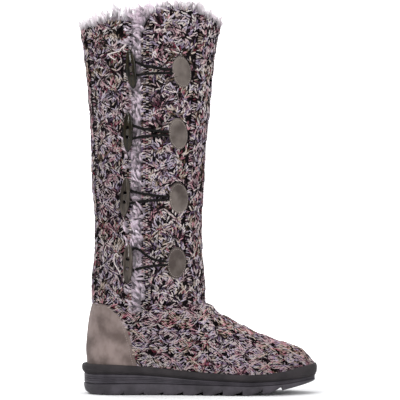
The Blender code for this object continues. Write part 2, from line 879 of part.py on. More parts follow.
def toggle_mesh():
    """A long bead, flat at the back, tapered to both ends, with two holes through its waist."""
    sides = 8
    turn = 2 * math.pi * (np.arange(sides) + 0.5) / sides
    rings = []
    for place, width, thickness in zip(TOGGLE["place"], TOGGLE["width"], TOGGLE["thickness"]):
        x = TOGGLE_WIDTH / 2 * width * np.cos(turn)
        z = TOGGLE_THICKNESS / 2 * thickness * np.sin(turn)
        rings.append(np.column_stack([x, np.full(sides, TOGGLE_LENGTH * place), z]))
    faces = []
    for i in range(len(rings) - 1):
        faces += band_faces(sides, i * sides, (i + 1) * sides)
    faces += [tuple(range(sides))[::-1], tuple(range((len(rings) - 1) * sides, len(rings) * sides))]
    blank = add_object("toggle_blank", build_mesh("toggle", np.concatenate(rings), faces), horn)
    for sign in (-1, 1):
        spots = 8
        spin = 2 * math.pi * np.arange(spots) / spots
        disc = HOLE_DIAMETER / 2 * np.column_stack([np.cos(spin), np.sin(spin)])
        disc[:, 1] += sign * HOLE_SPACING / 2
        ends = [np.column_stack([disc, np.full(spots, z)]) for z in (-TOGGLE_THICKNESS, TOGGLE_THICKNESS)]
        faces = band_faces(spots, 0, spots) + [tuple(range(spots))[::-1], tuple(range(spots, 2 * spots))]
        drill = add_object(f"drill_{sign}", build_mesh("drill", np.concatenate(ends), faces), horn)
        drill.hide_render = True
        drill.display_type = "WIRE"
        cut(blank, drill)
    bpy.context.view_layer.update()
    graph = bpy.context.evaluated_depsgraph_get()
    made = bpy.data.meshes.new_from_object(blank.evaluated_get(graph), depsgraph=graph)
    for name in ("toggle_blank", "drill_-1", "drill_1"):
        bpy.data.objects.remove(bpy.data.objects[name])
    return made


def thread_mesh():
    """A closed thread through both holes: a bar over the toggle, two legs, and a bar behind it."""
    reach = HOLE_SPACING / 2
    front = TOGGLE_THICKNESS / 2 + GAP + THREAD_DIAMETER / 2
    back = -TOGGLE_THICKNESS / 2 - 2 * GAP - CORD_DIAMETER + THREAD_DIAMETER / 2 + GAP
    soft = 0.45 * reach
    route = [
        (-reach + soft, front),
        (reach - soft, front),
        (reach, front - soft),
        (reach, back + soft),
        (reach - soft, back),
        (-reach + soft, back),
        (-reach, back + soft),
        (-reach, front - soft),
    ]
    sides = 6
    turn = 2 * math.pi * np.arange(sides) / sides
    rings = []
    for i, (y, z) in enumerate(route):
        before, after = route[i - 1], route[(i + 1) % len(route)]
        way = Vector((0.0, after[0] - before[0], after[1] - before[1])).normalized()
        aside = Vector((1.0, 0.0, 0.0))
        across = way.cross(aside)
        centre = Vector((0.0, y, z))
        radius = THREAD_DIAMETER / 2
        rings.append(
            np.array([centre + radius * (math.cos(a) * aside + math.sin(a) * across) for a in turn])
        )
    faces = []
    for i in range(len(rings)):
        faces += band_faces(sides, i * sides, (i + 1) % len(rings) * sides)
    return build_mesh("thread", np.concatenate(rings), faces)


def make_patch(name, x, z, tilt):
    """An oval of suede that follows the shaft, thinner at its edge."""
    spots, bands = 20, (1.0, 0.90, 0.45)
    turn = 2 * math.pi * np.arange(spots) / spots
    lean = math.radians(tilt)

    def oval(size, lift):
        along = size * PATCH_WIDTH / 2 * np.cos(turn)
        up = size * PATCH_LENGTH / 2 * np.sin(turn)
        px = x + along * math.cos(lean) + up * math.sin(lean) * -1.0
        pz = z + up * math.cos(lean) + along * math.sin(lean)
        return side_point(px, pz, lift)

    rings = [oval(1.0, GAP), oval(1.0, GAP + 0.55 * PATCH_THICKNESS)]
    rings += [oval(size, GAP + PATCH_THICKNESS) for size in bands[1:]]
    centre_top = side_point(x, z, GAP + PATCH_THICKNESS)
    centre_back = side_point(x, z, GAP)
    back = oval(bands[-1], GAP)
    rings = [back] + rings
    points = np.concatenate(rings + [centre_top[None], centre_back[None]])
    faces = []
    for i in range(len(rings) - 1):
        faces += band_faces(spots, i * spots, (i + 1) * spots)
    top, last = len(points) - 2, (len(rings) - 1) * spots
    faces += [(last + i, last + (i + 1) % spots, top) for i in range(spots)]
    faces += [((i + 1) % spots, i, top + 1) for i in range(spots)]
    return add_object(name, build_mesh(name, points, faces), suede)


def cord_route(toggle_x, toggle_z, patch_x, patch_z, bow):
    """The cord's points on the boot's side: out from the patch, round the shank and back."""
    lift = GAP + CORD_DIAMETER / 2
    rim = patch_x - PATCH_WIDTH / 2 - 2 * GAP
    points = []
    for share, up, bowed in zip(CORD_STRAND["share"], CORD_STRAND["up"], CORD_STRAND["bow"]):
        x = toggle_x + share * (rim - toggle_x)
        z = toggle_z + share * (patch_z - toggle_z)
        points.append((x, z, up * CORD_DIAMETER, bowed * bow))
    for along, up, bowed in zip(CORD_BIGHT["along"], CORD_BIGHT["up"], CORD_BIGHT["bow"]):
        half = HOLE_SPACING / 2
        points.append((toggle_x + along * half, toggle_z, up * half, bowed * bow))
    upper = [(x, z + up + bowed) for x, z, up, bowed in points]
    lower = [(x, z - up) for x, z, up, bowed in points[-2::-1]]
    return [side_point(x, z, lift) for x, z in upper + lower]


def spaced(points, step):
    """Points a step apart on a smooth curve through the route's own points."""
    points = np.array(points)
    before = np.vstack([2 * points[0] - points[1], points[:-1]])
    after = np.vstack([points[1:], 2 * points[-1] - points[-2]])
    tangent = (after - before) / 2
    t = np.linspace(0, 1, 12, endpoint=False)[:, None]
    fine = []
    for i in range(len(points) - 1):
        a, b = points[i], points[i + 1]
        fine.append(
            a * (1 + 2 * t) * (1 - t) ** 2
            + b * t * t * (3 - 2 * t)
            + tangent[i] * t * (1 - t) ** 2
            - tangent[i + 1] * t * t * (1 - t)
        )
    fine = np.vstack(fine + [points[-1:]])
    run = np.concatenate([[0], np.cumsum(np.linalg.norm(np.diff(fine, axis=0), axis=1))])
    count = max(2, round(run[-1] / step) + 1)
    at = np.linspace(0, run[-1], count)
    return np.column_stack([np.interp(at, run, fine[:, k]) for k in range(3)])


def make_cord(name, route):
    curve = bpy.data.curves.new(name, "CURVE")
    curve.dimensions = "3D"
    curve.bevel_depth = CORD_DIAMETER / 2
    curve.bevel_resolution = 1
    curve.use_fill_caps = True
    points = spaced(route, CORD_STATIONS * CORD_DIAMETER)
    spline = curve.splines.new("POLY")
    spline.points.add(len(points) - 1)
    for spot, place in zip(spline.points, points):
        spot.co = (*place, 1.0)
    return add_object(name, curve, cord)


def make_closures():
    toggle, thread = toggle_mesh(), thread_mesh()
    toggle_lift = 2 * GAP + CORD_DIAMETER + TOGGLE_THICKNESS / 2
    for i in range(len(CLOSURES["bow"])):
        row = {name: float(CLOSURES[name][i]) for name in CLOSURES}
        toggle_x = SLIT_REAR - row["set_back"] * SLIT_WIDTH
        toggle_z = row["toggle_height"] * COLLAR_HEIGHT
        patch_x = SLIT_FRONT + row["reach"] * PATCH_WIDTH
        patch_z = row["patch_height"] * COLLAR_HEIGHT
        at = seat_frame(toggle_x, toggle_z, toggle_lift, row["toggle_tilt"])
        for name, mesh, finish in ((f"toggle_{i + 1}", toggle, horn), (f"thread_{i + 1}", thread, twine)):
            add_object(name, mesh, finish).matrix_world = at
        make_patch(f"patch_{i + 1}", patch_x, patch_z, row["patch_tilt"])
        route = cord_route(toggle_x, toggle_z, patch_x, patch_z, row["bow"] * CORD_DIAMETER)
        make_cord(f"cord_{i + 1}", route)


for old in list(bpy.data.objects):
    bpy.data.objects.remove(old)

boot = bpy.data.objects.new("boot", None)
bpy.context.scene.collection.objects.link(boot)

knit = material("marled_knit", (0.23, 0.16, 0.18), 0.9)
fur = material("grey_fur", (0.50, 0.45, 0.49), 0.95)
suede = material("taupe_suede", (0.27, 0.23, 0.22), 0.9)
foxing = material("charcoal_foxing", (0.045, 0.045, 0.05), 0.7)
foam = material("grey_foam", (0.075, 0.07, 0.08), 0.6)
rubber = material("grey_rubber", (0.07, 0.067, 0.075), 0.55)
horn = material("brown_horn", (0.10, 0.08, 0.07), 0.3)
cord = material("black_cord", (0.02, 0.02, 0.022), 0.6)
twine = material("taupe_thread", (0.16, 0.13, 0.12), 0.8)

make_outsole()
make_midsole()
make_welt()
make_insole()
make_upper()
make_counter()
make_fur_collar()
make_fur_gusset()
make_closures()
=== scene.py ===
"""Looks of a knee-high knitted boot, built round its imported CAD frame.

The knit, fur, suede, sole and closures are meshes made from the boot's own shape: a half-width over
place and height, and the sheets read from it. Metres, +Z up, +X towards the toe, outer side to -Y.
"""

import math

import bpy
import numpy as np
from bpy.props import FloatProperty, FloatVectorProperty, IntProperty, PointerProperty
from bpy.types import Operator, Panel, PropertyGroup
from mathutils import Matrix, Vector


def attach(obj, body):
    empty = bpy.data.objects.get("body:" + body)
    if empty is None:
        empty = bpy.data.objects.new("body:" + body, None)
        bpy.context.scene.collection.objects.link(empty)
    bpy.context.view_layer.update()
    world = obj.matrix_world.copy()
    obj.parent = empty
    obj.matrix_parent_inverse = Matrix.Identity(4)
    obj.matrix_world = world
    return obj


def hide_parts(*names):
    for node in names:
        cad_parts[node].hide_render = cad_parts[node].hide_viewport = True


bl_info = {
    "name": "Knitted boot",
    "version": (1, 0, 0),
    "blender": (4, 5, 0),
    "location": "View3D > Sidebar > Boot",
    "description": "Builds the looks of a knee-high knitted boot round its CAD frame",
    "category": "Add Mesh",
}

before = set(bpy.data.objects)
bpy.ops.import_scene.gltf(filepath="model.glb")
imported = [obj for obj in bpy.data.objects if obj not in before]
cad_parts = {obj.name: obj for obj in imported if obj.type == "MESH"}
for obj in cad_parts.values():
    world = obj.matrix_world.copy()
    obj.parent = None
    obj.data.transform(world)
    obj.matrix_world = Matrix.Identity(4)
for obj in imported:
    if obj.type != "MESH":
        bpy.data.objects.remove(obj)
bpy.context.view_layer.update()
BODY = "root"

# Sizes of the boot
# Clearance between pieces that touch
GAP = 0.0003

# Last and shaft, measured outside the knit
FOOT_LENGTH = 0.2632
BALL_WIDTH = 0.088
ANKLE_HEIGHT = 0.1035
COLLAR_HEIGHT = 0.4396
COLLAR_DIP = 0.021
COLLAR_DEPTH = 0.162
COLLAR_WIDTH = 0.110
SHAFT_CENTRE = 0.0395
HEEL_HOLLOW = 0.0072
HEEL_ROUND = 0.034
TOE_ROUND = 0.056
TOE_SWING = 0.004
OVAL_POWER = 2.15
ANKLE_BLEND = 0.15
WALL = 0.004

# Sole, as a stack from the floor up, each thickness at the heel
OUTSOLE = 0.0125
MIDSOLE = 0.0112
WELT_HEIGHT = 0.0112
TOE_SPRING = 0.015
HEEL_PROJECTION = 0.0084
SIDE_PROJECTION = 0.0062
TOE_PROJECTION = 0.003

# Tread: notches with a steep back and a long run, growing from the heel to the ball
LUG_PITCH = 0.0226
FIRST_NOTCH = -0.0112
NOTCHES = 10
NOTCH_DEPTH = 0.0042
NOTCH_RUN = 0.0125

# Side slit and its fur
SLIT_REAR = 0.0195
SLIT_WIDTH = 0.013
SLIT_BOTTOM = 0.092
SLIT_TAPER = 0.024
FLAP_CORNER_WIDTH = 0.028
FLAP_CORNER_HEIGHT = 0.0316
COLLAR_FUR_RISE = 0.0095
COLLAR_FUR_DEPTH = 0.022
COLLAR_FUR_THICKNESS = 0.0065

# Heel counter
COUNTER_HEIGHT = 0.1045
COUNTER_REACH = 0.0605

# Closures
TOGGLE_LENGTH = 0.046
TOGGLE_WIDTH = 0.0115
TOGGLE_THICKNESS = 0.0062
HOLE_SPACING = 0.0102
HOLE_DIAMETER = 0.0044
THREAD_DIAMETER = 0.0016
CORD_DIAMETER = 0.003
PATCH_LENGTH = 0.0362
PATCH_WIDTH = 0.0215
PATCH_THICKNESS = 0.0015

SIDES = ("lateral", "medial")
OUTWARDS = {"lateral": -1.0, "medial": 1.0}


# Camera: level, straight across the outer side
CAMERA_X = 0.0985
CAMERA_HEIGHT = 0.223
CAMERA_DISTANCE = 2.9
CAMERA_LENS = 225.5

# Grids that carry the knit: rows along and points across, on the shaft and on each side of the foot
SHAFT_GRID = (90, 480)
FOOT_GRID = (240, 90)
# Where the shaft's knit is parted, as shares of the way round from the slit
FRONT_END = 0.31
INNER_END = 0.66
# Step to either side of a place at which a direction is read
SIDE_STEP = 0.0005


def table(names, *rows):
    """Rows of numbers as named columns."""
    return dict(zip(names.split(), np.array(rows, float).T))


# Shaft sections: height from ankle to collar, centre line's lean as a share of the collar's depth,
# depth and width as shares of the collar's.
SHAFT = table(
    "height lean depth width",
    (0.000, 0.000, 0.796, 0.773),
    (0.056, -0.005, 0.797, 0.764),
    (0.187, -0.004, 0.754, 0.745),
    (0.281, -0.004, 0.749, 0.755),
    (0.403, -0.007, 0.785, 0.791),
    (0.534, -0.004, 0.805, 0.836),
    (0.656, 0.004, 0.844, 0.891),
    (0.787, 0.004, 0.890, 0.945),
    (0.870, 0.004, 0.931, 0.973),
    (0.937, 0.009, 0.977, 0.991),
    (1.000, 0.012, 1.000, 1.000),
)

# Collar line: drop below the collar's peak as a share of its dip, from the back (-1) to the front (1)
COLLAR = table(
    "place lateral medial",
    (-1.00, 1.00, 1.00),
    (-0.75, 0.84, 0.88),
    (-0.48, 0.62, 0.74),
    (-0.28, 0.64, 0.62),
    (-0.12, 0.48, 0.54),
    (0.10, 0.13, 0.50),
    (0.40, 0.00, 0.48),
    (0.58, 0.05, 0.52),
    (0.74, 0.25, 0.60),
    (0.88, 0.54, 0.72),
    (1.00, 0.89, 0.89),
)

# Plan of the last: stations along the foot from the heel, half-widths as shares of the ball width
PLAN = table(
    "station lateral medial",
    (0.00, 0.372, 0.372),
    (0.15, 0.376, 0.376),
    (0.28, 0.372, 0.366),
    (0.38, 0.388, 0.360),
    (0.49, 0.430, 0.370),
    (0.60, 0.485, 0.435),
    (0.69, 0.510, 0.490),
    (0.78, 0.505, 0.515),
    (0.86, 0.475, 0.505),
    (0.93, 0.430, 0.465),
    (1.00, 0.380, 0.420),
)

# Heel curve: height from footbed to ankle, and how far it has come in from its rearmost point
HEEL = table(
    "height inset",
    (0.00, 0.36), (0.18, 0.15), (0.35, 0.00), (0.53, 0.14), (0.70, 0.33), (0.87, 0.64),
    (1.00, 1.00),
)

# Width of the ankle above the heel seat, as a share of its width at the ankle
ANKLE = table(
    "height width",
    (0.00, 0.80), (0.30, 0.84), (0.60, 0.91), (0.85, 0.97), (1.00, 1.00),
)

# Top line of the foot: stations from the front of the ankle to the toe, height from footbed to ankle,
# and the exponent that rounds the cross-section there. Negative stations run on inside the shaft.
VAMP = table(
    "station height round",
    (-0.90, 2.200, 1.80),
    (-0.25, 1.450, 1.80),
    (0.00, 1.000, 1.80),
    (0.06, 0.960, 1.80),
    (0.11, 0.886, 1.80),
    (0.205, 0.806, 1.82),
    (0.31, 0.730, 1.85),
    (0.41, 0.652, 1.88),
    (0.54, 0.571, 1.92),
    (0.685, 0.486, 2.00),
    (0.78, 0.436, 2.05),
    (0.86, 0.390, 2.10),
    (0.915, 0.308, 2.20),
    (0.97, 0.218, 2.30),
    (0.99, 0.165, 2.40),
    (1.00, 0.000, 2.40),
)

# Sole stack: stations from the back of the heel to the toe, each line as a share of its named size
SOLE = table(
    "station spring outsole midsole welt",
    (0.000, 0.45, 0.46, 1.00, 1.00),
    (0.022, 0.16, 0.81, 1.00, 1.00),
    (0.060, 0.00, 0.98, 1.00, 1.00),
    (0.240, 0.00, 1.04, 0.89, 0.91),
    (0.500, 0.00, 0.95, 0.50, 0.80),
    (0.690, 0.00, 0.87, 0.37, 0.77),
    (0.776, 0.14, 0.74, 0.36, 0.81),
    (0.850, 0.39, 0.55, 0.35, 0.93),
    (0.930, 0.70, 0.38, 0.30, 1.20),
    (1.000, 1.00, 0.20, 0.25, 1.33),
)

# Front edge of the counter: height above the welt, reach round the heel
COUNTER = table(
    "height reach",
    (0.00, 1.000), (0.12, 0.955), (0.36, 0.880), (0.65, 0.760), (0.87, 0.560), (0.945, 0.450),
    (0.985, 0.320), (1.00, 0.180),
)

# Cross-section of the collar fur: outwards as a share of its thickness, upwards as a share of its
# rise or, below the collar line, of its depth. The first point lies against the knit.
COLLAR_FUR = table(
    "out up lock",
    (0.00, -1.00, 0.0),
    (0.00, 0.00, 0.0),
    (0.62, 0.00, 0.0),
    (0.86, 0.42, 1.0),
    (0.42, 0.92, 1.0),
    (-0.35, 1.00, 1.0),
    (-1.00, 0.45, 0.6),
    (-1.00, -0.25, 0.4),
    (-0.55, -1.00, 0.0),
)

# Toggle half-sections: place along its length, width and thickness shares
TOGGLE = table(
    "place width thickness",
    (-0.50, 0.16, 0.22),
    (-0.46, 0.44, 0.48),
    (-0.34, 0.76, 0.76),
    (-0.18, 0.96, 0.96),
    (0.00, 1.00, 1.00),
    (0.18, 0.96, 0.96),
    (0.34, 0.76, 0.76),
    (0.46, 0.44, 0.48),
    (0.50, 0.16, 0.22),
)

# The four closures from the top down: heights of toggle and patch as shares of the collar's height,
# how far the toggle's middle lies behind the slit in slit widths and the patch's middle ahead of it in
# patch widths, both pieces' tilt in degrees, and how far the upper strand bows up in cord diameters.
CLOSURES = table(
    "toggle_height patch_height set_back reach toggle_tilt patch_tilt bow",
    (0.8462, 0.8394, -0.158, 2.086, 6.0, 9.0, 0.00),
    (0.6836, 0.6790, 0.118, 1.900, -1.0, 5.0, 0.00),
    (0.5152, 0.5118, 0.360, 1.930, -4.5, 4.0, 0.00),
    (0.3412, 0.3435, 0.140, 1.817, -2.5, -2.0, 3.67),
)

# Route of a cord from the patch round behind the toggle: free stretch as shares of the way from
# patch to toggle, upwards in cord diameters, and its share of the bow
CORD_STRAND = table(
    "share up bow",
    (1.00, 0.60, 0.00),
    (0.80, 0.70, 0.05),
    (0.60, 0.98, 0.20),
    (0.42, 1.32, 0.55),
    (0.28, 1.68, 0.95),
)
# Then round the shank, in half hole spacings
CORD_BIGHT = table(
    "along up bow",
    (1.25, 1.34, 1.00),
    (0.42, 1.58, 0.55),
    (-0.52, 1.42, 0.20),
    (-1.12, 0.82, 0.05),
    (-1.30, 0.00, 0.00),
)

# Yarn: the thickness of a stitch's leg, its reach in rows, its width in stitches, how far chance turns
# it in radians, and the length of one twist of its plies
YARN_THICKNESS = 0.0016
LEG_REACH = 1.52
LEG_WIDTH = 0.34
LEG_TURN = 0.09
LEG_BOW = 0.35
PLY_LENGTH = 0.0016
# How far stitches keep from the slit's edges, and reach under the counter's edge
EDGE_MARGIN = 0.0012
COUNTER_MARGIN = 0.0035
# The stretch at each end of the sole where an inset moves it in, and the welt's depth
SOLE_END = 0.015
WELT_INSET = 0.0105

# Shape of a stitch's leg: places along it and its size there
LEAF = table(
    "along size",
    (-0.30, 0.80), (0.04, 1.00), (0.34, 0.66),
)

# The pattern's columns. Lift, rise and dome are shares of the relief.
CABLE_KINDS = ("plait", "twist", "rung", "ladder")
CABLES = table(
    "strands wales period swing lift rise dome spread sideways",
    (3, 4, 0.070, 0.330, -0.42, 0.42, 0.16, 0.46, 0),
    (2, 3, 0.050, 0.250, -0.46, 0.50, 0.20, 0.42, 0),
    (1, 1, 0.000, 0.000, -0.34, 0.00, 0.10, 0.50, 1),
    (1, 3, 0.000, 0.000, -0.46, 0.00, 0.00, 0.22, 1),
)

# Columns round the shaft from the slit's front edge, and over each side of the foot from the welt up
SHAFT_COLUMNS = (
    ("ladder", 8), ("plait", 40), ("rung", 5), ("twist", 22), ("ladder", 8), ("twist", 22),
    ("rung", 5), ("plait", 40), ("rung", 5), ("twist", 20), ("rung", 5), ("plait", 40),
    ("rung", 5), ("ladder", 15), ("twist", 20), ("rung", 6), ("plait", 34), ("ladder", 7),
)
FOOT_COLUMNS = (("plait", 32), ("plait", 34), ("plait", 32))

# Shades of the marled yarn, each like its neighbours in the list, and how they drift: the size of a
# patch, and the share of chance in the pick
MARL = ("rose", "plum", "pink", "lilac", "grey", "sand", "wine")
MARL_DRIFT = 0.013
MARL_CHANCE = 0.34
# Painted light: how much brighter the foot's yarn is made, where light falls on it from above, by how
# much more at the toe, and the brightest it gets
FOOT_PAINTED_LIGHT = 1.35
TOE_PAINTED_LIGHT = 0.7
TINT_LIMIT = 0.93

# How bright the stitches are: the share of them that stays below each level. 0 is black, 1 the plain
# ply and 2 the light one. The near-black stitches are partly the yarn's own dark marl and partly
# painted shade for the dark gaps between stitches.
MARL_LEVELS = table(
    "share level",
    (0.00, 0.03), (0.27, 0.07), (0.36, 0.82), (0.55, 1.30), (0.79, 2.00), (1.00, 2.00),
)

# How far the slit's fur spreads over the knit, rear and front, at heights from the bottom up
FUR_SPREAD = table(
    "height rear front",
    (0.090, 0.0185, 0.0320),
    (0.105, 0.0160, 0.0370),
    (0.125, 0.0155, 0.0385),
    (0.154, 0.0175, 0.0350),
    (0.188, 0.0160, 0.0355),
    (0.212, 0.0160, 0.0360),
    (0.235, 0.0175, 0.0360),
    (0.265, 0.0150, 0.0330),
    (0.290, 0.0150, 0.0320),
    (0.340, 0.0175, 0.0315),
    (0.375, 0.0190, 0.0320),
    (0.405, 0.0180, 0.0330),
    (0.425, 0.0180, 0.0365),
    (0.442, 0.0180, 0.0440),
)

# Fur: strands in a lock; how bright they are at base, middle and tip, as painted shade at the base,
# where strands shade each other, and painted light towards the tip; and the slit's share of locks in
# the flap's cut-off corner
LOCK_STRANDS = 13
COLLAR_PAINTED_SHADING = (0.60, 1.12, 1.42)
SLIT_PAINTED_SHADING = (0.16, 0.80, 1.38)
CORNER_SHARE = 0.16
# The fuller tuft on the collar behind the slit: its place, its reach and how much longer it is
TUFT_PLACE = 0.004
TUFT_REACH = 0.020
TUFT_EXTRA = 0.50
# Fur this near a cord lies lower by the second size
CORD_CLEARANCE = 0.0095
CORD_SINK = 0.0045
# The brightest a strand gets, how far strands stray from their lock's line at the collar and in the
# slit, and the size of the drifts of colour
FUR_LIMIT = 0.95
COLLAR_LOCK = 0.0010
SLIT_LOCK = 0.0009
TINT_DRIFT = 0.012
# Strip behind the slit: how far it reaches past the slit, its faces' depths, its swell and ruffle
STRIP_MARGIN = 0.008
STRIP_OUTER = -0.0068
STRIP_INNER = -0.0096
STRIP_SWELL = 0.0026
STRIP_RUFFLE = 0.0016
# Roots of the slit's locks: how deep they sit in the slit and in the corner, how much higher they
# are outside the slit and in the middle, and the share of locks that spreads over the knit
ROOT_DEPTH = -0.0048
CORNER_DEPTH = -0.0030
ROOT_STEP = 0.0080
ROOT_CROWN = 0.0012
SPREAD_SHARE = 0.70

# Blobs on the slit's edges: how deep they lie, and how far from the ends they stop
BLOB_DEPTH = -0.0012
BLOB_END = 0.002

# Linings: depth of the knit's ground, a dark sheet of painted shade between the stitches, as a share of
# the relief, the fleece's gap and thickness
GROUND_DEPTH = 0.68
LINING_GAP = 0.0001
LINING_THICKNESS = 0.0015
FOOTBED = table("level inset", (0.004, 0.0062), (0.035, 0.0060), (0.062, 0.0085))

# Heel counter: how far it runs down behind the welt, its height and reach for measuring to the edge,
# the edge's radius, the face's depth at the edge and its rise from there, the back's depth, and how
# many rows and columns its seam lies in from the edge
COUNTER_TUCK = 0.0015
COUNTER_SPANS = (0.070, 0.060)
COUNTER_ROUND = 0.0022
COUNTER_FACE = (-0.0008, 0.0021)
COUNTER_BACK = 0.0026
COUNTER_SEAM = (6, 5)

# Seams: pitch of the stitches on the counter and on the ovals, and a thread's width and thickness
COUNTER_PITCH = 0.0026
OVAL_PITCH = 0.0024
SEAM_THREAD = (0.0007, 0.0006)
# Ovals: rings from the hidden back over the rim to the middle, and where the seam lies
OVAL = table(
    "size lift",
    (0.30, -1.20), (0.90, -1.20), (1.00, -1.20), (1.00, 0.25), (0.985, 0.62), (0.95, 0.88),
    (0.90, 0.93), (0.86, 0.90), (0.80, 1.00), (0.60, 1.00), (0.35, 1.00), (0.12, 1.00),
)
OVAL_SEAM = 0.875

# Toggles and twine: roundness of the bead, squareness of the twine's loop and the loops' offsets
BEAD_POWER = 0.85
TWINE_POWER = 0.28
TWINE_OFFSETS = (-0.0008, 0.0, 0.0008)
TWINE_SHARE = 0.62
YARN_SHARE = 0.85
YARN_STEP = 0.0008
# Braid's turns for each diameter of a cord, its relief, and how deep a cord starts below its oval
BRAID_PITCH = 2.2
BRAID_RELIEF = 0.16
CORD_TUCK = 0.0020

# Loose ends of yarn on the outer side: their routes in place and height, and how high they lie
YARN_LIFT = 0.0028
YARN_ROUTES = (
    (
        (0.0153, 0.4007), (0.0091, 0.3948), (0.0081, 0.3926),
        (0.0037, 0.3915), (-0.0021, 0.3900), (-0.0056, 0.3889),
    ),
    ((0.0151, 0.3997), (0.0118, 0.3945), (0.0161, 0.3911)),
    ((-0.0045, 0.3892), (-0.0033, 0.3874), (0.0002, 0.3843), (0.0030, 0.3827)),
    (
        (0.0062, 0.1582), (0.0042, 0.1619), (0.0018, 0.1590),
        (0.0018, 0.1509), (0.0050, 0.1450), (0.0083, 0.1397),
    ),
)

# Lamps: place, the point each one is turned to, size and power
LAMPS = {
    "key": ((-0.9, -1.9, 1.9), (0.05, 0.0, 0.20), (1.4, 1.4), 36.0),
    "fill": ((1.9, -1.5, 1.0), (0.08, 0.0, 0.20), (1.6, 1.6), 25.0),
    "top": ((0.1, 0.1, 2.3), (0.05, 0.0, 0.15), (1.6, 1.6), 22.0),
    "rim": ((-1.5, 1.2, 1.3), (0.05, 0.0, 0.25), (1.0, 1.0), 12.0),
    "strip": ((-0.62, -2.27, 0.72), (0.02, 0.0, 0.27), (0.06, 0.6), 10.0),
}
SKY = (0.92, 0.93, 0.95, 1.0)
SKY_STRENGTH = 0.42
# Backdrop: half its width and its reach to the front, where it starts to curve, the curve's radius,
# its height, how far below the sole it lies, and its glow
FLOOR_HALF = 6.0
FLOOR_BEND = 3.6
FLOOR_RADIUS = 0.9
WALL_TOP = 5.0
FLOOR_DROP = 0.0004
FLOOR_GLOW = 0.85

# Finer side walls of the sole's layers
OUTSOLE_LOOK = table(
    "height inset",
    (0.00, 0.80), (0.05, 0.62), (0.22, 0.46), (0.55, 0.38), (0.80, 0.35), (0.93, 0.36),
    (1.00, 0.56),
)
MIDSOLE_LOOK = table(
    "height inset",
    (0.00, 0.60), (0.05, 0.46), (0.14, 0.42), (0.26, 0.42), (0.30, 0.53), (0.34, 0.42),
    (0.46, 0.42), (0.50, 0.58), (0.54, 0.42), (0.66, 0.41), (0.70, 0.52), (0.74, 0.40),
    (0.88, 0.39), (0.96, 0.43), (1.00, 0.56),
)
WELT_LOOK = table(
    "height inset",
    (0.00, 0.52), (0.05, 0.32), (0.12, 0.22), (0.17, 0.26), (0.22, 0.12), (0.36, 0.03),
    (0.52, -0.01), (0.68, -0.01), (0.80, 0.02), (0.90, 0.09), (0.97, 0.20), (1.00, 0.36),
)


def smooth(places, values):
    """A curve through the points with no overshoot: cubic pieces whose slopes are harmonic means."""
    step = np.diff(places)
    slope = np.diff(values) / step
    ends = np.concatenate([slope[:1], slope, slope[-1:]])
    before, after = ends[:-1], ends[1:]
    same_way = before * after > 0
    safe = np.where(same_way, before + after, 1.0)
    tangent = np.where(same_way, 2 * before * after / safe, 0.0)

    def curve(x):
        x = np.asarray(x, float)
        piece = np.clip(np.searchsorted(places, x, side="right") - 1, 0, len(step) - 1)
        width = step[piece]
        t = np.clip((x - places[piece]) / width, 0.0, 1.0)
        start, end = values[piece], values[piece + 1]
        return (
            start * (1 + 2 * t) * (1 - t) ** 2
            + end * t * t * (3 - 2 * t)
            + width * (tangent[piece] * t * (1 - t) ** 2 - tangent[piece + 1] * t * t * (1 - t))
        )

    return curve


def curves(rows, first):
    """A smooth curve for each column of a table over its first column."""
    return {name: smooth(rows[first], rows[name]) for name in rows if name != first}


shaft = curves(SHAFT, "height")
collar = curves(COLLAR, "place")
plan = curves(PLAN, "station")
heel = curves(HEEL, "height")
ankle = curves(ANKLE, "height")
vamp = curves(VAMP, "station")
sole = curves(SOLE, "station")
counter = curves(COUNTER, "height")
toggle = curves(TOGGLE, "place")


def round_off(distance, power=2.0):
    """Rises from 0 at an end to 1 a full radius away, along a quarter of a rounded outline."""
    near = 1 - np.clip(distance, 0.0, 1.0)
    return (1 - near**power) ** (1 / power)


# Ends of the shaft at a height, and of the foot at the ankle
def shaft_share(z):
    return np.clip((z - ANKLE_HEIGHT) / (COLLAR_HEIGHT - ANKLE_HEIGHT), 0.0, 1.0)


def shaft_centre(z):
    return SHAFT_CENTRE + COLLAR_DEPTH * shaft["lean"](shaft_share(z))


def shaft_half_depth(z):
    return COLLAR_DEPTH / 2 * shaft["depth"](shaft_share(z))


ANKLE_BACK = float(shaft_centre(ANKLE_HEIGHT) - shaft_half_depth(ANKLE_HEIGHT))
ANKLE_FRONT = float(shaft_centre(ANKLE_HEIGHT) + shaft_half_depth(ANKLE_HEIGHT))
HEEL_BACK = ANKLE_BACK - HEEL_HOLLOW
TOE = HEEL_BACK + FOOT_LENGTH
FEATHER_BACK = HEEL_BACK + HEEL_HOLLOW * float(heel["inset"](0.0))
SOLE_BACK = FEATHER_BACK - HEEL_PROJECTION
SOLE_LENGTH = TOE + TOE_PROJECTION - SOLE_BACK
SLIT_FRONT = SLIT_REAR + SLIT_WIDTH
SLIT_MIDDLE = SLIT_REAR + SLIT_WIDTH / 2


# Heights of the sole's lines at a place along it
def sole_share(x):
    return (x - SOLE_BACK) / SOLE_LENGTH


def floor_line(x):
    return TOE_SPRING * sole["spring"](sole_share(x))


def groove_line(x):
    return floor_line(x) + OUTSOLE * sole["outsole"](sole_share(x))


def footbed_line(x):
    return groove_line(x) + MIDSOLE * sole["midsole"](sole_share(x))


def welt_line(x):
    return footbed_line(x) + WELT_HEIGHT * sole["welt"](sole_share(x))


def foot_level(x, z):
    """0 on the footbed, 1 at the ankle's height, and on upwards."""
    bed = footbed_line(x) + GAP
    return (z - bed) / (ANKLE_HEIGHT - bed)


def foot_height(x, level):
    """The height of a level above a place along the foot."""
    bed = footbed_line(x) + GAP
    return bed + level * (ANKLE_HEIGHT - bed)


def heel_curve(level):
    return HEEL_BACK + HEEL_HOLLOW * heel["inset"](np.clip(level, 0.0, 1.0))


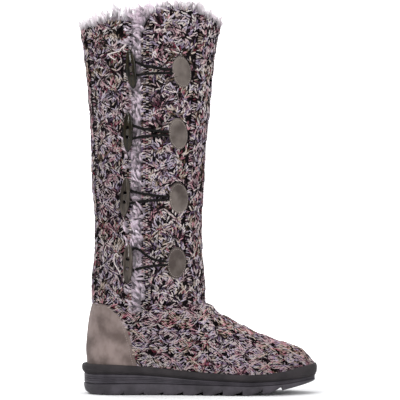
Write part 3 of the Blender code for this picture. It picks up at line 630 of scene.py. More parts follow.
def top_line(x):
    """Level of the foot's top line above a place along the foot."""
    return vamp["height"]((x - ANKLE_FRONT) / (TOE - ANKLE_FRONT))


TOP_PLACES = np.linspace(ANKLE_FRONT, TOE, 400)
TOP_LEVELS = top_line(TOP_PLACES)


def front_of(level):
    """Where a level of the foot meets the top line."""
    return np.interp(level, TOP_LEVELS[::-1], TOP_PLACES[::-1])


def middle(x):
    """The foot's middle line swings inwards ahead of the ankle."""
    ahead = np.clip((x - ANKLE_FRONT) / (TOE - ANKLE_FRONT), 0.0, 1.0)
    return TOE_SWING * ahead * ahead


def foot_half_width(x, level, side):
    """The foot: the last's plan, rounded at heel and toe, times an arch up to the top line."""
    wide = BALL_WIDTH * plan[side]((x - HEEL_BACK) / FOOT_LENGTH)
    ends = round_off((x - heel_curve(level)) / HEEL_ROUND) * round_off((TOE - x) / TOE_ROUND, 2.3)
    power = vamp["round"]((x - ANKLE_FRONT) / (TOE - ANKLE_FRONT))
    share = np.clip(level / np.maximum(top_line(x), 1e-6), 0.0, 1.0)
    return wide * ends * (1 - share**power) ** (1 / power)


def half_width(x, z, side):
    """Half-width at a place and height: the shaft's oval, which passes into the foot's arch."""
    level = foot_level(x, z)
    below = level < 1
    back = np.where(below, heel_curve(level), shaft_centre(z) - shaft_half_depth(z))
    front = np.where(below, front_of(level), shaft_centre(z) + shaft_half_depth(z))
    away = np.clip(np.abs((2 * x - back - front) / (front - back)), 0.0, 1.0)
    narrowing = ankle["width"](np.clip(level, 0.0, 1.0))
    full = COLLAR_WIDTH / 2 * shaft["width"](shaft_share(z)) * narrowing
    oval = full * (1 - away**OVAL_POWER) ** (1 / OVAL_POWER)
    rise = np.clip((level - ANKLE_BLEND) / (1 - ANKLE_BLEND), 0.0, 1.0)
    share = rise * rise * (3 - 2 * rise)
    return np.where(below, foot_half_width(x, level, side) * (1 - share) + oval * share, oval)


def collar_line(place, side):
    return COLLAR_HEIGHT - COLLAR_DIP * collar[side](place)


def collar_lines(place, lateral):
    """The collar's height, on the outer side where the mask says so and on the inner elsewhere."""
    return np.where(lateral, collar_line(place, "lateral"), collar_line(place, "medial"))


def slope(reading, at, step):
    """How fast a reading grows at a place, from a step to either side of it."""
    return (reading(at + step) - reading(at - step)) / (2 * step)


def side_point(x, z, lift=0.0):
    """A point on the boot's outer side, lifted off it along the normal."""
    step = 2 * GAP
    wide = half_width(x, z, "lateral")
    along_x = slope(lambda at: half_width(at, z, "lateral"), x, step) - slope(middle, x, step)
    along_z = slope(lambda at: half_width(x, at, "lateral"), z, step)
    normal = unit(np.stack([-along_x, 0 * along_x - 1, -along_z], -1))
    spot = np.stack([x + 0 * wide, middle(x) - wide, z + 0 * wide], -1)
    return spot + np.asarray(lift)[..., None] * normal


def slit_half_width(z):
    """The slit closes in a round end over its last stretch."""
    return SLIT_WIDTH / 2 * round_off((z - SLIT_BOTTOM) / SLIT_TAPER)


def side_offsets(x, z, lateral):
    """How far the sides lie from the middle line: below 0 on the outer side, above it on the inner."""
    return np.where(lateral, -half_width(x, z, "lateral"), half_width(x, z, "medial"))


def unit(vectors):
    return vectors / np.maximum(np.linalg.norm(vectors, axis=-1, keepdims=True), 1e-12)


def way_round(points, axis=0):
    """The step from the point before to the point after, at each point of a closed ring."""
    return np.roll(points, -1, axis=axis) - np.roll(points, 1, axis=axis)


def plan_normals(ring):
    """Level directions outwards at each point of a closed ring."""
    way = way_round(ring)
    return unit(np.stack([way[:, 1], -way[:, 0], 0 * way[:, 0]], -1))


# Rings: closed sections of the boot, from the back round the outer side
def turns(count):
    """Angles round a ring, and which of them lie on the outer side."""
    turn = 2 * math.pi * np.arange(count) / count
    return turn, turn <= math.pi


def foot_rows(levels, count):
    """Sections of the foot, from the footbed at level 0 up to the ankle's height at 1.

    Along a section the place runs from back to front as a half cosine, the height is the same share
    of the way from footbed to ankle, and the width is the boot's half-width there, to either side.
    """
    turn, lateral = turns(count)
    level = np.asarray(levels, float)[:, None]
    back, front = heel_curve(level), front_of(level)
    x = (back + front) / 2 - (front - back) / 2 * np.cos(turn)
    z = foot_height(x, level)
    offset = side_offsets(x, z, lateral) * (np.abs(np.sin(turn)) > 1e-9)
    return np.stack([x, middle(x) + offset, z], -1)


def shaft_rows(shares, count):
    """Sections of the shaft, each a share of the way from the ankle to the collar's own line."""
    turn, lateral = turns(count)
    place = -np.cos(turn)
    line = collar_lines(place, lateral)
    z = ANKLE_HEIGHT + np.asarray(shares, float)[:, None] * (line - ANKLE_HEIGHT)
    x = shaft_centre(z) + shaft_half_depth(z) * place
    return np.stack([x, side_offsets(x, z, lateral) * (np.abs(np.sin(turn)) > 1e-9), z], -1)


def boot_rows(count, foot, shaft_count):
    """The whole boot as stacked rings."""
    levels = 1 - (1 - np.linspace(0, 1, foot)) ** 1.12
    return np.concatenate(
        [foot_rows(levels, count), shaft_rows(np.linspace(0, 1, shaft_count + 1)[1:], count)]
    )


def ring_normals(rows):
    """Outward normals of stacked rings: the way round crossed with the way up."""
    return unit(np.cross(way_round(rows, 1), np.gradient(rows, axis=0)))


def moved_rows(rows, lift):
    """Stacked rings moved along their normals, the first and last kept at their own heights."""
    moved = rows + lift * ring_normals(rows)
    moved[[0, -1], :, 2] = rows[[0, -1], :, 2]
    return moved


# Sheets: curved surfaces with a place along (u) and across (v), both from 0 to 1
class Sheet:
    """A grid of points, read between its points together with its directions and normal."""

    def __init__(self, points, outward):
        rows, columns = points.shape[:2]
        along = np.gradient(points, 1 / (rows - 1), axis=0)
        across = np.gradient(points, 1 / (columns - 1), axis=1)
        normal = unit(np.cross(along, across)) * outward
        self.grid = np.concatenate([points, along, across, normal], 2)
        self.length = float(np.linalg.norm(np.diff(points[:, columns // 2], axis=0), axis=1).sum())

    def at(self, u, v):
        """Position, direction along, direction across and normal, blended from the four corners."""
        rows, columns = self.grid.shape[:2]
        a = np.clip(u, 0, 1) * (rows - 1)
        b = np.clip(v, 0, 1) * (columns - 1)
        i = np.minimum(a.astype(int), rows - 2)
        j = np.minimum(b.astype(int), columns - 2)
        s, t = (a - i)[..., None], (b - j)[..., None]
        low = self.grid[i, j] * (1 - s) + self.grid[i + 1, j] * s
        high = self.grid[i, j + 1] * (1 - s) + self.grid[i + 1, j + 1] * s
        found = low * (1 - t) + high * t
        return found[..., :3], found[..., 3:6], found[..., 6:9], unit(found[..., 9:12])


def run_of(points):
    """The length along a polyline up to each of its points."""
    return np.concatenate([[0], np.cumsum(np.linalg.norm(np.diff(points, axis=0), axis=1))])


def read_along(run, values, at):
    """Rows of values, one for each point of a polyline, read at lengths along it."""
    return np.column_stack([np.interp(at, run, column) for column in values.T])


def evened(points, count=None):
    """A polyline's points spaced evenly along its own length."""
    run = run_of(points)
    return read_along(run, points, np.linspace(0, run[-1], count or len(points)))


def shaft_sheet():
    """The shaft from the slit's front edge round the front and inner side to the slit's rear edge.

    Height runs along it. At each height the places round the oval are evened out by arc length.
    """
    rows = []
    for z in np.linspace(ANKLE_HEIGHT, COLLAR_HEIGHT, SHAFT_GRID[0]):
        centre, reach = shaft_centre(z), shaft_half_depth(z)
        ends = [
            math.acos(float(np.clip((centre - x) / reach, -1, 1))) for x in (SLIT_FRONT, SLIT_REAR)
        ]
        turn = np.linspace(ends[0], ends[1] + 2 * math.pi, SHAFT_GRID[1])
        x = centre - reach * np.cos(turn)
        height = z + 0 * x
        offset = side_offsets(x, height, np.sin(turn) >= 0)
        rows.append(evened(np.stack([x, offset, height], -1)))
    return Sheet(np.array(rows), 1.0)


def foot_sheet(side):
    """One side of the foot: along it from heel to toe, across it from the feather line to the top.

    At each place the half-width over the heights gives a curve, evened out by arc length.
    """
    start, end = HEEL_BACK + 0.010, TOE - 0.0004
    along, across = (np.linspace(0, 1, count) for count in FOOT_GRID)
    rows = []
    for x in start + (end - start) * (1 - (1 - along) ** 1.6):
        z = foot_height(x, min(1.0, float(top_line(x))) * (1 - (1 - across) ** 2))
        wide = half_width(x + 0 * z, z, side)
        rows.append(evened(np.stack([x + 0 * z, middle(x) + OUTWARDS[side] * wide, z], -1)))
    rows = np.array(rows)
    run = run_of(rows[:, rows.shape[1] // 2])
    spot = np.interp(np.linspace(0, run[-1], len(rows)), run, np.arange(len(rows)))
    low = np.minimum(spot.astype(int), len(rows) - 2)
    part = (spot - low)[:, None, None]
    return Sheet(rows[low] * (1 - part) + rows[low + 1] * part, OUTWARDS[side])


# Meshes
def grid_faces(rows, columns, around=False, looped=False, start=0):
    """Quads over a grid of points: its rows rings if around, the last joined to the first if looped."""
    i = np.arange(rows if looped else rows - 1)[:, None]
    j = np.arange(columns if around else columns - 1)
    low, high, after = i * columns, (i + 1) % rows * columns, (j + 1) % columns
    faces = np.stack([low + j, low + after, high + after, high + j], -1)
    return faces.reshape(-1, 4) + start


def fan(start, count, pole, low=False):
    """Triangles between a ring of points and a pole, turned over at a low end."""
    ring = start + np.arange(count)
    after = np.roll(ring, -1)
    return np.stack([*((after, ring) if low else (ring, after)), np.full(count, pole)], -1)


def capped_faces(rows, columns, start=0):
    """Quads up stacked rings, and fans to the low and the high pole that follow their points."""
    end = start + rows * columns
    fans = fan(start, columns, end, low=True), fan(end - columns, columns, end + 1)
    return grid_faces(rows, columns, around=True, start=start), np.concatenate(fans)


def linked(name, data):
    """A new object in the scene."""
    made = bpy.data.objects.new(name, data)
    bpy.context.scene.collection.objects.link(made)
    return made


def volume(points, faces):
    """Six times the volume inside the faces, from fans of triangles."""
    total = 0.0
    for face in faces:
        for k in range(1, face.shape[1] - 1):
            a, b, c = points[face[:, 0]], points[face[:, k]], points[face[:, k + 1]]
            total += float(np.einsum("ij,ij->", a, np.cross(b, c)))
    return total


def add_mesh(name, points, faces, finish, slot, corners=None, attributes=(), sharp=None):
    """A mesh from arrays: faces are arrays of equal-sided faces, corners their places on a map.

    It gets its material and rides on the boot; its slot is not used.
    """
    points = np.asarray(points, float).reshape(-1, 3)
    faces = [np.asarray(face) for face in faces if len(face)]
    if volume(points, faces) < 0:
        faces = [face[:, ::-1] for face in faces]
        corners = None if corners is None else [c[:, ::-1] for c in corners]
    mesh = bpy.data.meshes.new(name)
    mesh.vertices.add(len(points))
    mesh.vertices.foreach_set("co", points.ravel())
    order = np.concatenate([face.ravel() for face in faces])
    sizes = np.concatenate([np.full(len(face), face.shape[1]) for face in faces])
    mesh.loops.add(len(order))
    mesh.loops.foreach_set("vertex_index", order)
    mesh.polygons.add(len(sizes))
    mesh.polygons.foreach_set("loop_start", np.concatenate([[0], np.cumsum(sizes)[:-1]]))
    mesh.update(calc_edges=True)
    for label, kind, values in attributes:
        field = "color" if kind == "FLOAT_COLOR" else "vector"
        made = mesh.attributes.new(label, kind, "POINT")
        made.data.foreach_set(field, np.asarray(values, float).ravel())
    if corners is not None:
        uv = np.concatenate([c.ravel() for c in corners])
        mesh.uv_layers.new(name="OFBake").data.foreach_set("uv", uv)
    mesh.shade_smooth()
    if sharp is not None:
        mesh.set_sharp_from_angle(angle=math.radians(sharp))
    mesh.materials.append(finish)
    piece = linked(name, mesh)
    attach(piece, BODY)
    return piece


def add_tube(name, rings, finish, slot, **more):
    """Rings joined each to the next and the last to the first."""
    faces = grid_faces(*rings.shape[:2], around=True, looped=True)
    return add_mesh(name, rings, [faces], finish, slot, **more)


def lid(count, start):
    """Strips across a ring between its outer-side and inner-side points."""
    half = count // 2
    i = np.arange(1, half - 1)
    quads = np.stack([start + i, start + i + 1, start + count - i - 1, start + count - i], -1)
    ends = np.array(
        [[start, start + 1, start + count - 1], [start + half - 1, start + half, start + half + 1]]
    )
    return quads, ends


def add_slab(name, rings, finish, slot, **more):
    """Stacked rings with a lid at each end."""
    rows, count = rings.shape[:2]
    sides = grid_faces(rows, count, around=True)
    low, low_ends = lid(count, 0)
    high, high_ends = lid(count, (rows - 1) * count)
    quads = np.concatenate([sides, low[:, ::-1], high])
    tris = np.concatenate([low_ends[:, ::-1], high_ends])
    return add_mesh(name, rings, [quads, tris], finish, slot, **more)


def add_sheet(name, outer, inner, finish, slot, **more):
    """Two matching grids as the faces of one sheet, its rim closed."""
    rows, columns = outer.shape[:2]
    size = rows * columns
    spots = np.arange(size).reshape(rows, columns)
    rim = np.concatenate([spots[0, :-1], spots[:-1, -1], spots[-1, :0:-1], spots[:0:-1, 0]])
    after = np.roll(rim, -1)
    faces = np.concatenate(
        [
            grid_faces(rows, columns),
            grid_faces(rows, columns, start=size)[:, ::-1],
            np.stack([after, rim, size + rim, size + after], -1),
        ]
    )
    points = np.concatenate([outer.reshape(-1, 3), inner.reshape(-1, 3)])
    return add_mesh(name, points, [faces], finish, slot, **more)


# Fields of chance, the same on every run
def hashed(i, j, k, seed):
    """A number from 0 to 1 for each cell: the fraction of a large sine of its indices."""
    mixed = np.sin(i * 127.1 + j * 311.7 + k * 74.7 + seed * 53.3) * 43758.5453
    return mixed - np.floor(mixed)


def patches_of_chance(points, size, seed):
    """Smooth value noise from 0 to 1: cell corners' numbers blended along the three axes."""
    spot = points / size
    cell = np.floor(spot)
    part = spot - cell
    part = part * part * (3 - 2 * part)
    total = np.zeros(points.shape[:-1])
    for corner in np.ndindex(2, 2, 2):
        weight = np.ones(points.shape[:-1])
        for axis, end in enumerate(corner):
            weight = weight * (part[..., axis] if end else 1 - part[..., axis])
        at = [cell[..., axis] + end for axis, end in enumerate(corner)]
        total += weight * hashed(*at, seed)
    return total


# Materials
class Value:
    """A socket with arithmetic: each operator adds a Math node and wraps its result."""

    def __init__(self, look, socket):
        self.look, self.socket = look, socket

    def math(self, operation, *others, first=None):
        inputs = [self if first is None else first, *others]
        return Value(self.look, self.look.node("ShaderNodeMath", inputs, operation=operation))

    def __add__(self, other):
        return self.math("ADD", other)

    def __sub__(self, other):
        return self.math("SUBTRACT", other)

    def __mul__(self, other):
        return self.math("MULTIPLY", other)

    def __truediv__(self, other):
        return self.math("DIVIDE", other)

    def __rsub__(self, other):
        return self.math("SUBTRACT", self, first=other)

    __radd__ = __add__
    __rmul__ = __mul__

    def sine(self):
        return self.math("SINE")

    def clamped(self):
        return self.math("MAXIMUM", 0.0).math("MINIMUM", 1.0)

    def ramp(self, low, high):
        """0 below low, 1 above high, smooth between."""
        share = ((self - low) / (high - low)).clamped()
        return share * share * (3.0 - 2.0 * share)


class Look:
    """A Principled material under construction."""

    def __init__(self, name, roughness, specular=0.5, sheen=0.0, coat=0.0):
        self.material = bpy.data.materials.new(name)
        self.material.use_nodes = True
        self.tree = self.material.node_tree
        self.shader = self.tree.nodes["Principled BSDF"]
        for label, value in (
            ("Roughness", roughness),
            ("Specular IOR Level", specular),
            ("Sheen Weight", sheen),
            ("Sheen Roughness", 0.6),
            ("Coat Weight", coat),
            ("Coat Roughness", 0.12),
        ):
            self.shader.inputs[label].default_value = value

    def join(self, socket, given):
        if isinstance(given, Value):
            given = given.socket
        if isinstance(given, bpy.types.NodeSocket):
            self.tree.links.new(given, socket)
        elif given is not None:
            socket.default_value = given

    def node(self, kind, inputs=(), output=0, **settings):
        """Adds a node with settings, joins its inputs by number or name, and gives an output."""
        made = self.tree.nodes.new(kind)
        for label, value in settings.items():
            setattr(made, label, value)
        pairs = inputs.items() if isinstance(inputs, dict) else enumerate(inputs)
        for label, given in pairs:
            self.join(made.inputs[label], given)
        return made.outputs[output]

    def place(self, scale=(1.0, 1.0, 1.0)):
        """Object coordinates, stretched."""
        spot = self.node("ShaderNodeTexCoord", output="Object")
        return self.node("ShaderNodeVectorMath", [spot, scale], operation="MULTIPLY")

    def noise(self, scale, detail=3.0, stretch=(1.0, 1.0, 1.0), roughness=0.55):
        inputs = {
            "Vector": self.place(stretch),
            "Scale": scale,
            "Detail": detail,
            "Roughness": roughness,
        }
        return Value(self, self.node("ShaderNodeTexNoise", inputs, output=0))

    def attribute(self, name, output):
        return self.node("ShaderNodeAttribute", output=output, attribute_name=name)

    def parts(self, vector):
        made = self.tree.nodes.new("ShaderNodeSeparateXYZ")
        self.join(made.inputs[0], vector)
        return [Value(self, socket) for socket in made.outputs]

    def mix(self, share, first, second, blend="MIX"):
        """Two colours mixed by a share."""
        inputs = {0: share, 6: first, 7: second}
        return self.node(
            "ShaderNodeMix", inputs, output=2, data_type="RGBA", blend_type=blend, clamp_factor=True
        )

    def bump(self, height, distance):
        inputs = {"Height": height, "Distance": distance}
        self.join(self.shader.inputs["Normal"], self.node("ShaderNodeBump", inputs))

    def finish(self, colour, roughness=None):
        self.join(self.shader.inputs["Base Color"], colour)
        self.join(self.shader.inputs["Roughness"], roughness)
        return self.material


def rgba(colour):
    """A colour in the display's own scale from 0 to 255, as the shader's linear values."""
    share = np.asarray(colour, float) / 255
    low = share <= 0.04045
    linear = np.where(low, share / 12.92, ((share + 0.055) / 1.055) ** 2.4)
    return (*(float(c) for c in linear), 1.0)


def shade(name, *colour):
    """A colour property whose default is given in the display's own scale."""
    return FloatVectorProperty(
        name=name,
        description=f"Colour of the {name.lower()}",
        default=rgba(colour),
        min=0.0,
        max=1.0,
        subtype="COLOR",
        size=4,
    )


def shades(settings, name):
    """The deep and the light shade of one thing among the settings."""
    return getattr(settings, f"{name}_deep"), getattr(settings, f"{name}_light")


def yarn_look():
    """Marled wool: each leg's colour, which carries painted shade and light, darker and lighter by the
    twist of its plies.
    """
    look = Look("marled_yarn", 0.85, specular=0.12)
    along, around, _ = look.parts(look.attribute("twist", "Vector"))
    ply = (((along / PLY_LENGTH + around) * (2 * math.pi)).sine() + 1.0) * 0.5
    fuzz = look.noise(1400.0, 2.0)
    tint = look.attribute("tint", "Color")
    plies = look.mix(ply, (0.72, 0.68, 0.70, 1.0), (1.08, 1.08, 1.08, 1.0))
    colour = look.mix(1.0, tint, plies, "MULTIPLY")
    colour = look.mix(fuzz.ramp(0.3, 0.75) * 0.3, colour, (0.55, 0.5, 0.52, 1.0), "MULTIPLY")
    look.bump(ply * 0.6 + fuzz * 0.5, 0.0005)
    return look.finish(colour)


def backing_look(settings):
    """The knit's ground, painted shade: near black, as the gaps between stitches lie in shade, with a
    paler speck in some of the small stretched cells.
    """
    look = Look("knit_ground", 0.95, specular=0.05)
    inputs = {"Vector": look.place((1.0, 1.0, 0.55)), "Scale": 520.0}
    apart = Value(look, look.node("ShaderNodeTexVoronoi", inputs, output="Distance"))
    pick, tone, _ = look.parts(look.node("ShaderNodeTexVoronoi", inputs, output="Color"))
    speck = pick.ramp(0.42, 0.52) * (1.0 - apart.ramp(0.15, 0.5))
    look.bump(1.0 - apart, 0.0012)
    pale = look.mix(tone, *shades(settings, "speck"))
    return look.finish(look.mix(speck, settings.ground, pale))


def fur_look(name, strand, settings):
    """Fleece: each strand's colour, which carries painted shade and light, or soft clumps on the skins
    that carry the strands.
    """
    look = Look(name, 0.9, specular=0.15, sheen=0.35)
    if strand:
        return look.finish(look.attribute("tint", "Color"))
    clump = look.noise(260.0, 4.0, (1.0, 1.0, 0.45))
    look.bump(clump, 0.004)
    return look.finish(look.mix(clump.ramp(0.35, 0.7), *shades(settings, "skin")))


def suede_look(name, deep, light):
    """Brushed suede: broad darker clouds, brushed streaks and a fine nap."""
    look = Look(name, 0.95, specular=0.06, sheen=0.08)
    cloud = look.noise(38.0, 3.0)
    streak = look.noise(150.0, 3.0, (1.0, 1.0, 0.4))
    nap = look.noise(2600.0, 2.0)
    colour = look.mix(cloud.ramp(0.36, 0.66), deep, light)
    colour = look.mix(streak.ramp(0.45, 0.8) * 0.45, colour, deep)
    colour = look.mix(nap.ramp(0.5, 0.8) * 0.3, colour, light)
    look.bump(nap + streak * 0.6, 0.00025)
    return look.finish(colour)


def rubber_look(name, dark, light, roughness, grain, grain_depth):
    """Moulded rubber: a slow change of shade, fine grain and a faint bloom of dust."""
    look = Look(name, roughness, specular=0.16)
    slow = look.noise(45.0, 3.0)
    fine = look.noise(grain, 2.0)
    look.bump(fine, grain_depth)
    colour = look.mix(slow.ramp(0.35, 0.7), dark, light)
    shine = roughness - 0.12 + slow * 0.24
    return look.finish(colour, shine)


def horn_look(settings):
    """Polished horn under a clear coat: dark olive streaks, greyer on the lower toggles."""
    look = Look("brown_horn", 0.2, specular=0.05, coat=0.35)
    streak = look.noise(420.0, 4.0, (1.0, 1.0, 0.10), 0.6)
    low = 1.0 - look.parts(look.place())[2].ramp(0.16, 0.30)
    pairs = zip(shades(settings, "horn"), shades(settings, "low_horn"))
    dark, light = [look.mix(low, *pair) for pair in pairs]
    look.bump(streak, 0.00008)
    return look.finish(look.mix(streak.ramp(0.38, 0.66), dark, light), 0.12 + streak * 0.12)


def cord_look(settings):
    """Black waxed braid."""
    look = Look("black_cord", 0.45, specular=0.10)
    fibre = look.noise(2200.0, 2.0)
    look.bump(fibre, 0.0002)
    return look.finish(look.mix(fibre.ramp(0.4, 0.75), *shades(settings, "cord")))


def twine_look(name, dark, light):
    look = Look(name, 0.8, specular=0.25, sheen=0.2)
    fibre = look.noise(1800.0, 2.0)
    look.bump(fibre, 0.0002)
    return look.finish(look.mix(fibre.ramp(0.35, 0.7), dark, light))


# Strands and stitches: one small closed form, copied along arrays of frames
def leaf():
    """A stitch's leg of unit size: rings of four points and two tips, its seam underneath."""
    sides, rows = 4, len(LEAF["size"])
    spin = 2 * math.pi * np.arange(sides) / sides + math.pi
    ring = np.stack([0 * spin, np.sin(spin) / 2, np.cos(spin) / 2], -1)
    rings = LEAF["size"][:, None, None] * ring
    rings[..., 0] += LEAF["along"][:, None]
    points = np.concatenate([rings.reshape(-1, 3), [[-0.5, 0, 0], [0.5, 0, 0]]])
    around = np.concatenate([np.tile(np.arange(sides) / sides, rows), [0.5, 0.5]])
    return points, *capped_faces(rows, sides), around


def laid(local, at, along, normal):
    """Copies of a form's local points in frames of their own: along, across and up the normal."""
    return at[:, None] + local @ np.stack([along, np.cross(normal, along), normal], 1)


def copied(corners, count, each):
    """A form's faces, repeated for each of its copies."""
    steps = each * np.arange(count)[:, None, None]
    return (corners + steps).reshape(-1, corners.shape[1])


def unwrapped(around, corners):
    """Places round a form at its faces' corners, 0 read as 1 where a face crosses the seam."""
    spots = around[corners]
    wraps = np.ptp(spots, axis=1)[:, None] > 0.6
    return np.where(wraps & (spots < 0.1), 1.0, spots)


def with_alpha(colours):
    """Colours with an alpha of 1."""
    return np.concatenate([colours, np.ones((*colours.shape[:-1], 1))], -1)


def chart(corner_points, count, wide, high):
    """Cells of a square map, one for each copy: corner places inside a cell, repeated with a margin."""
    cells = math.ceil(math.sqrt(count))
    k = np.arange(count)
    origin = np.stack([k % cells, k // cells], -1)[:, None, None, :]
    local = np.stack([wide, high], -1)[None] * 0.84 + 0.08
    return ((origin + local) / cells).reshape(count * len(corner_points), corner_points.shape[1], 2)


def add_legs(name, legs, finish):
    """Stitch legs from arrays: each leaf is stretched to its size, turned and lifted, and its colour
    darkened underneath as painted shade.
    """
    points, quads, tips, around = leaf()
    thick = legs["thick"][:, None]
    local = points * np.stack([legs["length"], legs["width"], legs["thick"]], -1)[:, None]
    bowed = local.copy()
    bowed[..., 2] += thick * LEG_BOW * (1 - (2 * points[:, 0]) ** 2)
    placed = laid(bowed, legs["at"], legs["along"], legs["normal"])
    count, each = placed.shape[:2]
    wide = points[:, 0] + 0.5
    maps = [
        chart(quads, count, wide[quads], unwrapped(around, quads) * 0.96),
        chart(tips, count, wide[tips], around[tips] * 0.96),
    ]
    # Painted shade: a leg's colour darkens towards its underside, where it lies in the knit's shade
    lit = 0.72 + 0.28 * np.clip(local[..., 2] / thick * 2 + 0.6, 0, 1)
    start = local[..., 0] + legs["chance"][:, None] * PLY_LENGTH
    attributes = [
        ("tint", "FLOAT_COLOR", with_alpha(legs["tint"][:, None] * lit[..., None])),
        ("twist", "FLOAT_VECTOR", np.stack([start, around + 0 * start, 0 * start], -1)),
    ]
    faces = [copied(quads, count, each), copied(tips, count, each)]
    return add_mesh(name, placed, faces, finish, "knit", corners=maps, attributes=attributes)


def yarn_tints(points, chance, seed, settings):
    """Yarn colours in drifts: smooth noise and some chance pick a shade from the marl's palette.

    A second chance darkens the plain ply's shade, or blends it towards the light ply's.
    """
    drift = patches_of_chance(points * np.array([1.0, 1.0, 1.3]), MARL_DRIFT, seed)
    spread = np.clip((drift - 0.5) * 1.9 + 0.5, 0, 1)
    pick = np.clip(spread * (1 - MARL_CHANCE) + chance * MARL_CHANCE, 0, 0.9999)
    plies = [[getattr(settings, f"{name}_{ply}")[:3] for ply in ("plain", "light")] for name in MARL]
    shades = np.array(plies)
    spot = (pick * len(shades)).astype(int)
    bright = hashed(chance * 97.0, spot, points[..., 2] * 1e4, seed + 1)
    # The lowest levels make near-black stitches, partly the yarn's dark marl and partly painted shade
    # for the gaps between stitches
    level = np.interp(bright, MARL_LEVELS["share"], MARL_LEVELS["level"])[..., None]
    plain = shades[spot, 0] * np.minimum(level, 1.0)
    return plain + (shades[spot, 1] - plain) * np.clip(level - 1, 0, 1)


def join_legs(groups):
    return {key: np.concatenate([g[key] for g in groups]) for key in groups[0]}


def stitch_legs(sheet, u, v, tilt, lift, width, height, spread, keep, seed, settings):
    """Two legs for each stitch at (u, v): a V whose axis is tilted from the sheet's length.

    A leg's middle lies a quarter of the stitch's width to its side and half a row ahead. It runs from
    the V's foot outwards, and its length is that of the slant. Chance nudges and turns each one.
    """
    at, along, across, normal = sheet.at(u, v)
    along, across = unit(along), unit(across)
    across = unit(across - along * (along * across).sum(-1, keepdims=True))
    axis = along * np.cos(tilt)[:, None] + across * np.sin(tilt)[:, None]
    side = across * np.cos(tilt)[:, None] - along * np.sin(tilt)[:, None]
    groups = []
    for sign in (-1.0, 1.0):
        chance = hashed(np.round(u * 4001), np.round(v * 4003), 0 * u + sign, seed)
        other = hashed(np.round(v * 4001), np.round(u * 4003), 0 * u + sign, seed + 7)
        slant = np.arctan2(spread * width, LEG_REACH * height) + (other - 0.5) * LEG_TURN
        way = axis * np.cos(slant)[:, None] + sign * side * np.sin(slant)[:, None]
        middle_at = (
            at
            + side * (sign * 0.25 * width + (chance - 0.5) * 0.10 * width)[:, None]
            + axis * (0.5 * height)[:, None]
            + normal * (lift + (other - 0.5) * 0.0004)[:, None]
        )
        groups.append(
            {
                "at": middle_at,
                "along": unit(way - normal * (way * normal).sum(-1, keepdims=True)),
                "normal": normal,
                "length": np.hypot(spread * width, LEG_REACH * height) * (0.92 + 0.2 * chance),
                "width": width * LEG_WIDTH * (0.75 + 0.5 * other),
                "thick": np.full(len(u), YARN_THICKNESS) * (0.85 + 0.3 * chance),
                "chance": chance,
                "tint": yarn_tints(middle_at, other, seed, settings),
            }
        )
    legs = join_legs(groups)
    kept = np.concatenate([keep, keep])
    return {key: values[kept] for key, values in legs.items()}


def cable_legs(sheet, kind, low, high, settings, mask, seed):
    """One column of the pattern between two places across the sheet.

    A plait's strands swing from side to side as sines a third of a turn apart, each over the others on
    its way out and under on its way in. A rope's two strands swing half a turn apart. A ladder has one
    strand of sideways stitches, set deep.
    """
    shape = {name: float(CABLES[name][CABLE_KINDS.index(kind)]) for name in CABLES}
    strands, wales = int(shape["strands"]), int(shape["wales"])
    rows = max(4, round(sheet.length / settings.course))
    b = (np.arange(rows) + 0.5) / rows
    turn = hashed(np.array(low * 10), np.array(high * 10), 0, seed) * 2 * math.pi
    if shape["period"]:
        turn = 2 * math.pi * b * sheet.length / shape["period"] + turn
    turn = turn + 0 * b
    widest = (high - low) * (1.0 if strands == 1 else 1.22 / strands)
    phases = [turn + 2 * math.pi * k / strands for k in range(strands)]
    centres = [(low + high) / 2 + (high - low) * shape["swing"] * np.sin(angle) for angle in phases]
    heights = [-np.sin(2 * angle) if strands == 3 else np.cos(angle) for angle in phases]
    local = np.tile((np.arange(wales) + 0.5) / wales - 0.5, rows)
    brick = shape["sideways"] * (np.arange(wales) % 2) * 0.5 / rows
    u = np.repeat(b, wales) + np.tile(brick, rows)
    dome = (1 - (2 * local) ** 2) * shape["dome"]
    groups = []
    for k in range(strands):
        v = np.repeat(centres[k], wales) + local * widest
        level = np.repeat(heights[k], wales)
        _, along, across, _ = sheet.at(u, v)
        per_u, per_v = np.linalg.norm(along, axis=-1), np.linalg.norm(across, axis=-1)
        tilt = np.arctan(np.repeat(np.gradient(centres[k], b), wales) * per_v / per_u)
        lift = (shape["lift"] + shape["rise"] * level * 0.5 + dome) * settings.relief
        keep = mask(u, v)
        for other in set(range(strands)) - {k}:
            apart = np.abs(v - np.repeat(centres[other], wales))
            above = np.repeat(heights[other], wales) - level
            keep &= ~((apart < 0.34 * widest) & (above > 0.60))
        width = widest / wales * per_v * (1.0 if strands == 1 else 1.08)
        height = (per_u / rows) / np.maximum(np.cos(tilt), 0.55)
        if shape["sideways"]:
            tilt = tilt + math.pi / 2
            width, height = height * 1.25, width * 0.75
        sizes = tilt, lift, width, height, shape["spread"]
        groups.append(stitch_legs(sheet, u, v, *sizes, keep, seed + k, settings))
    return join_legs(groups)


def over_counter(at):
    """Whether a point on the heel lies under the counter, away from its edge."""
    x, _, z = np.moveaxis(at, -1, 0)
    share = (z - welt_line(x)) / (COUNTER_HEIGHT - welt_line(HEEL_BACK))
    reach = COUNTER_REACH * counter["reach"](np.clip(share, 0, 1))
    return (share < 0.97) & (x < HEEL_BACK + reach - COUNTER_MARGIN)


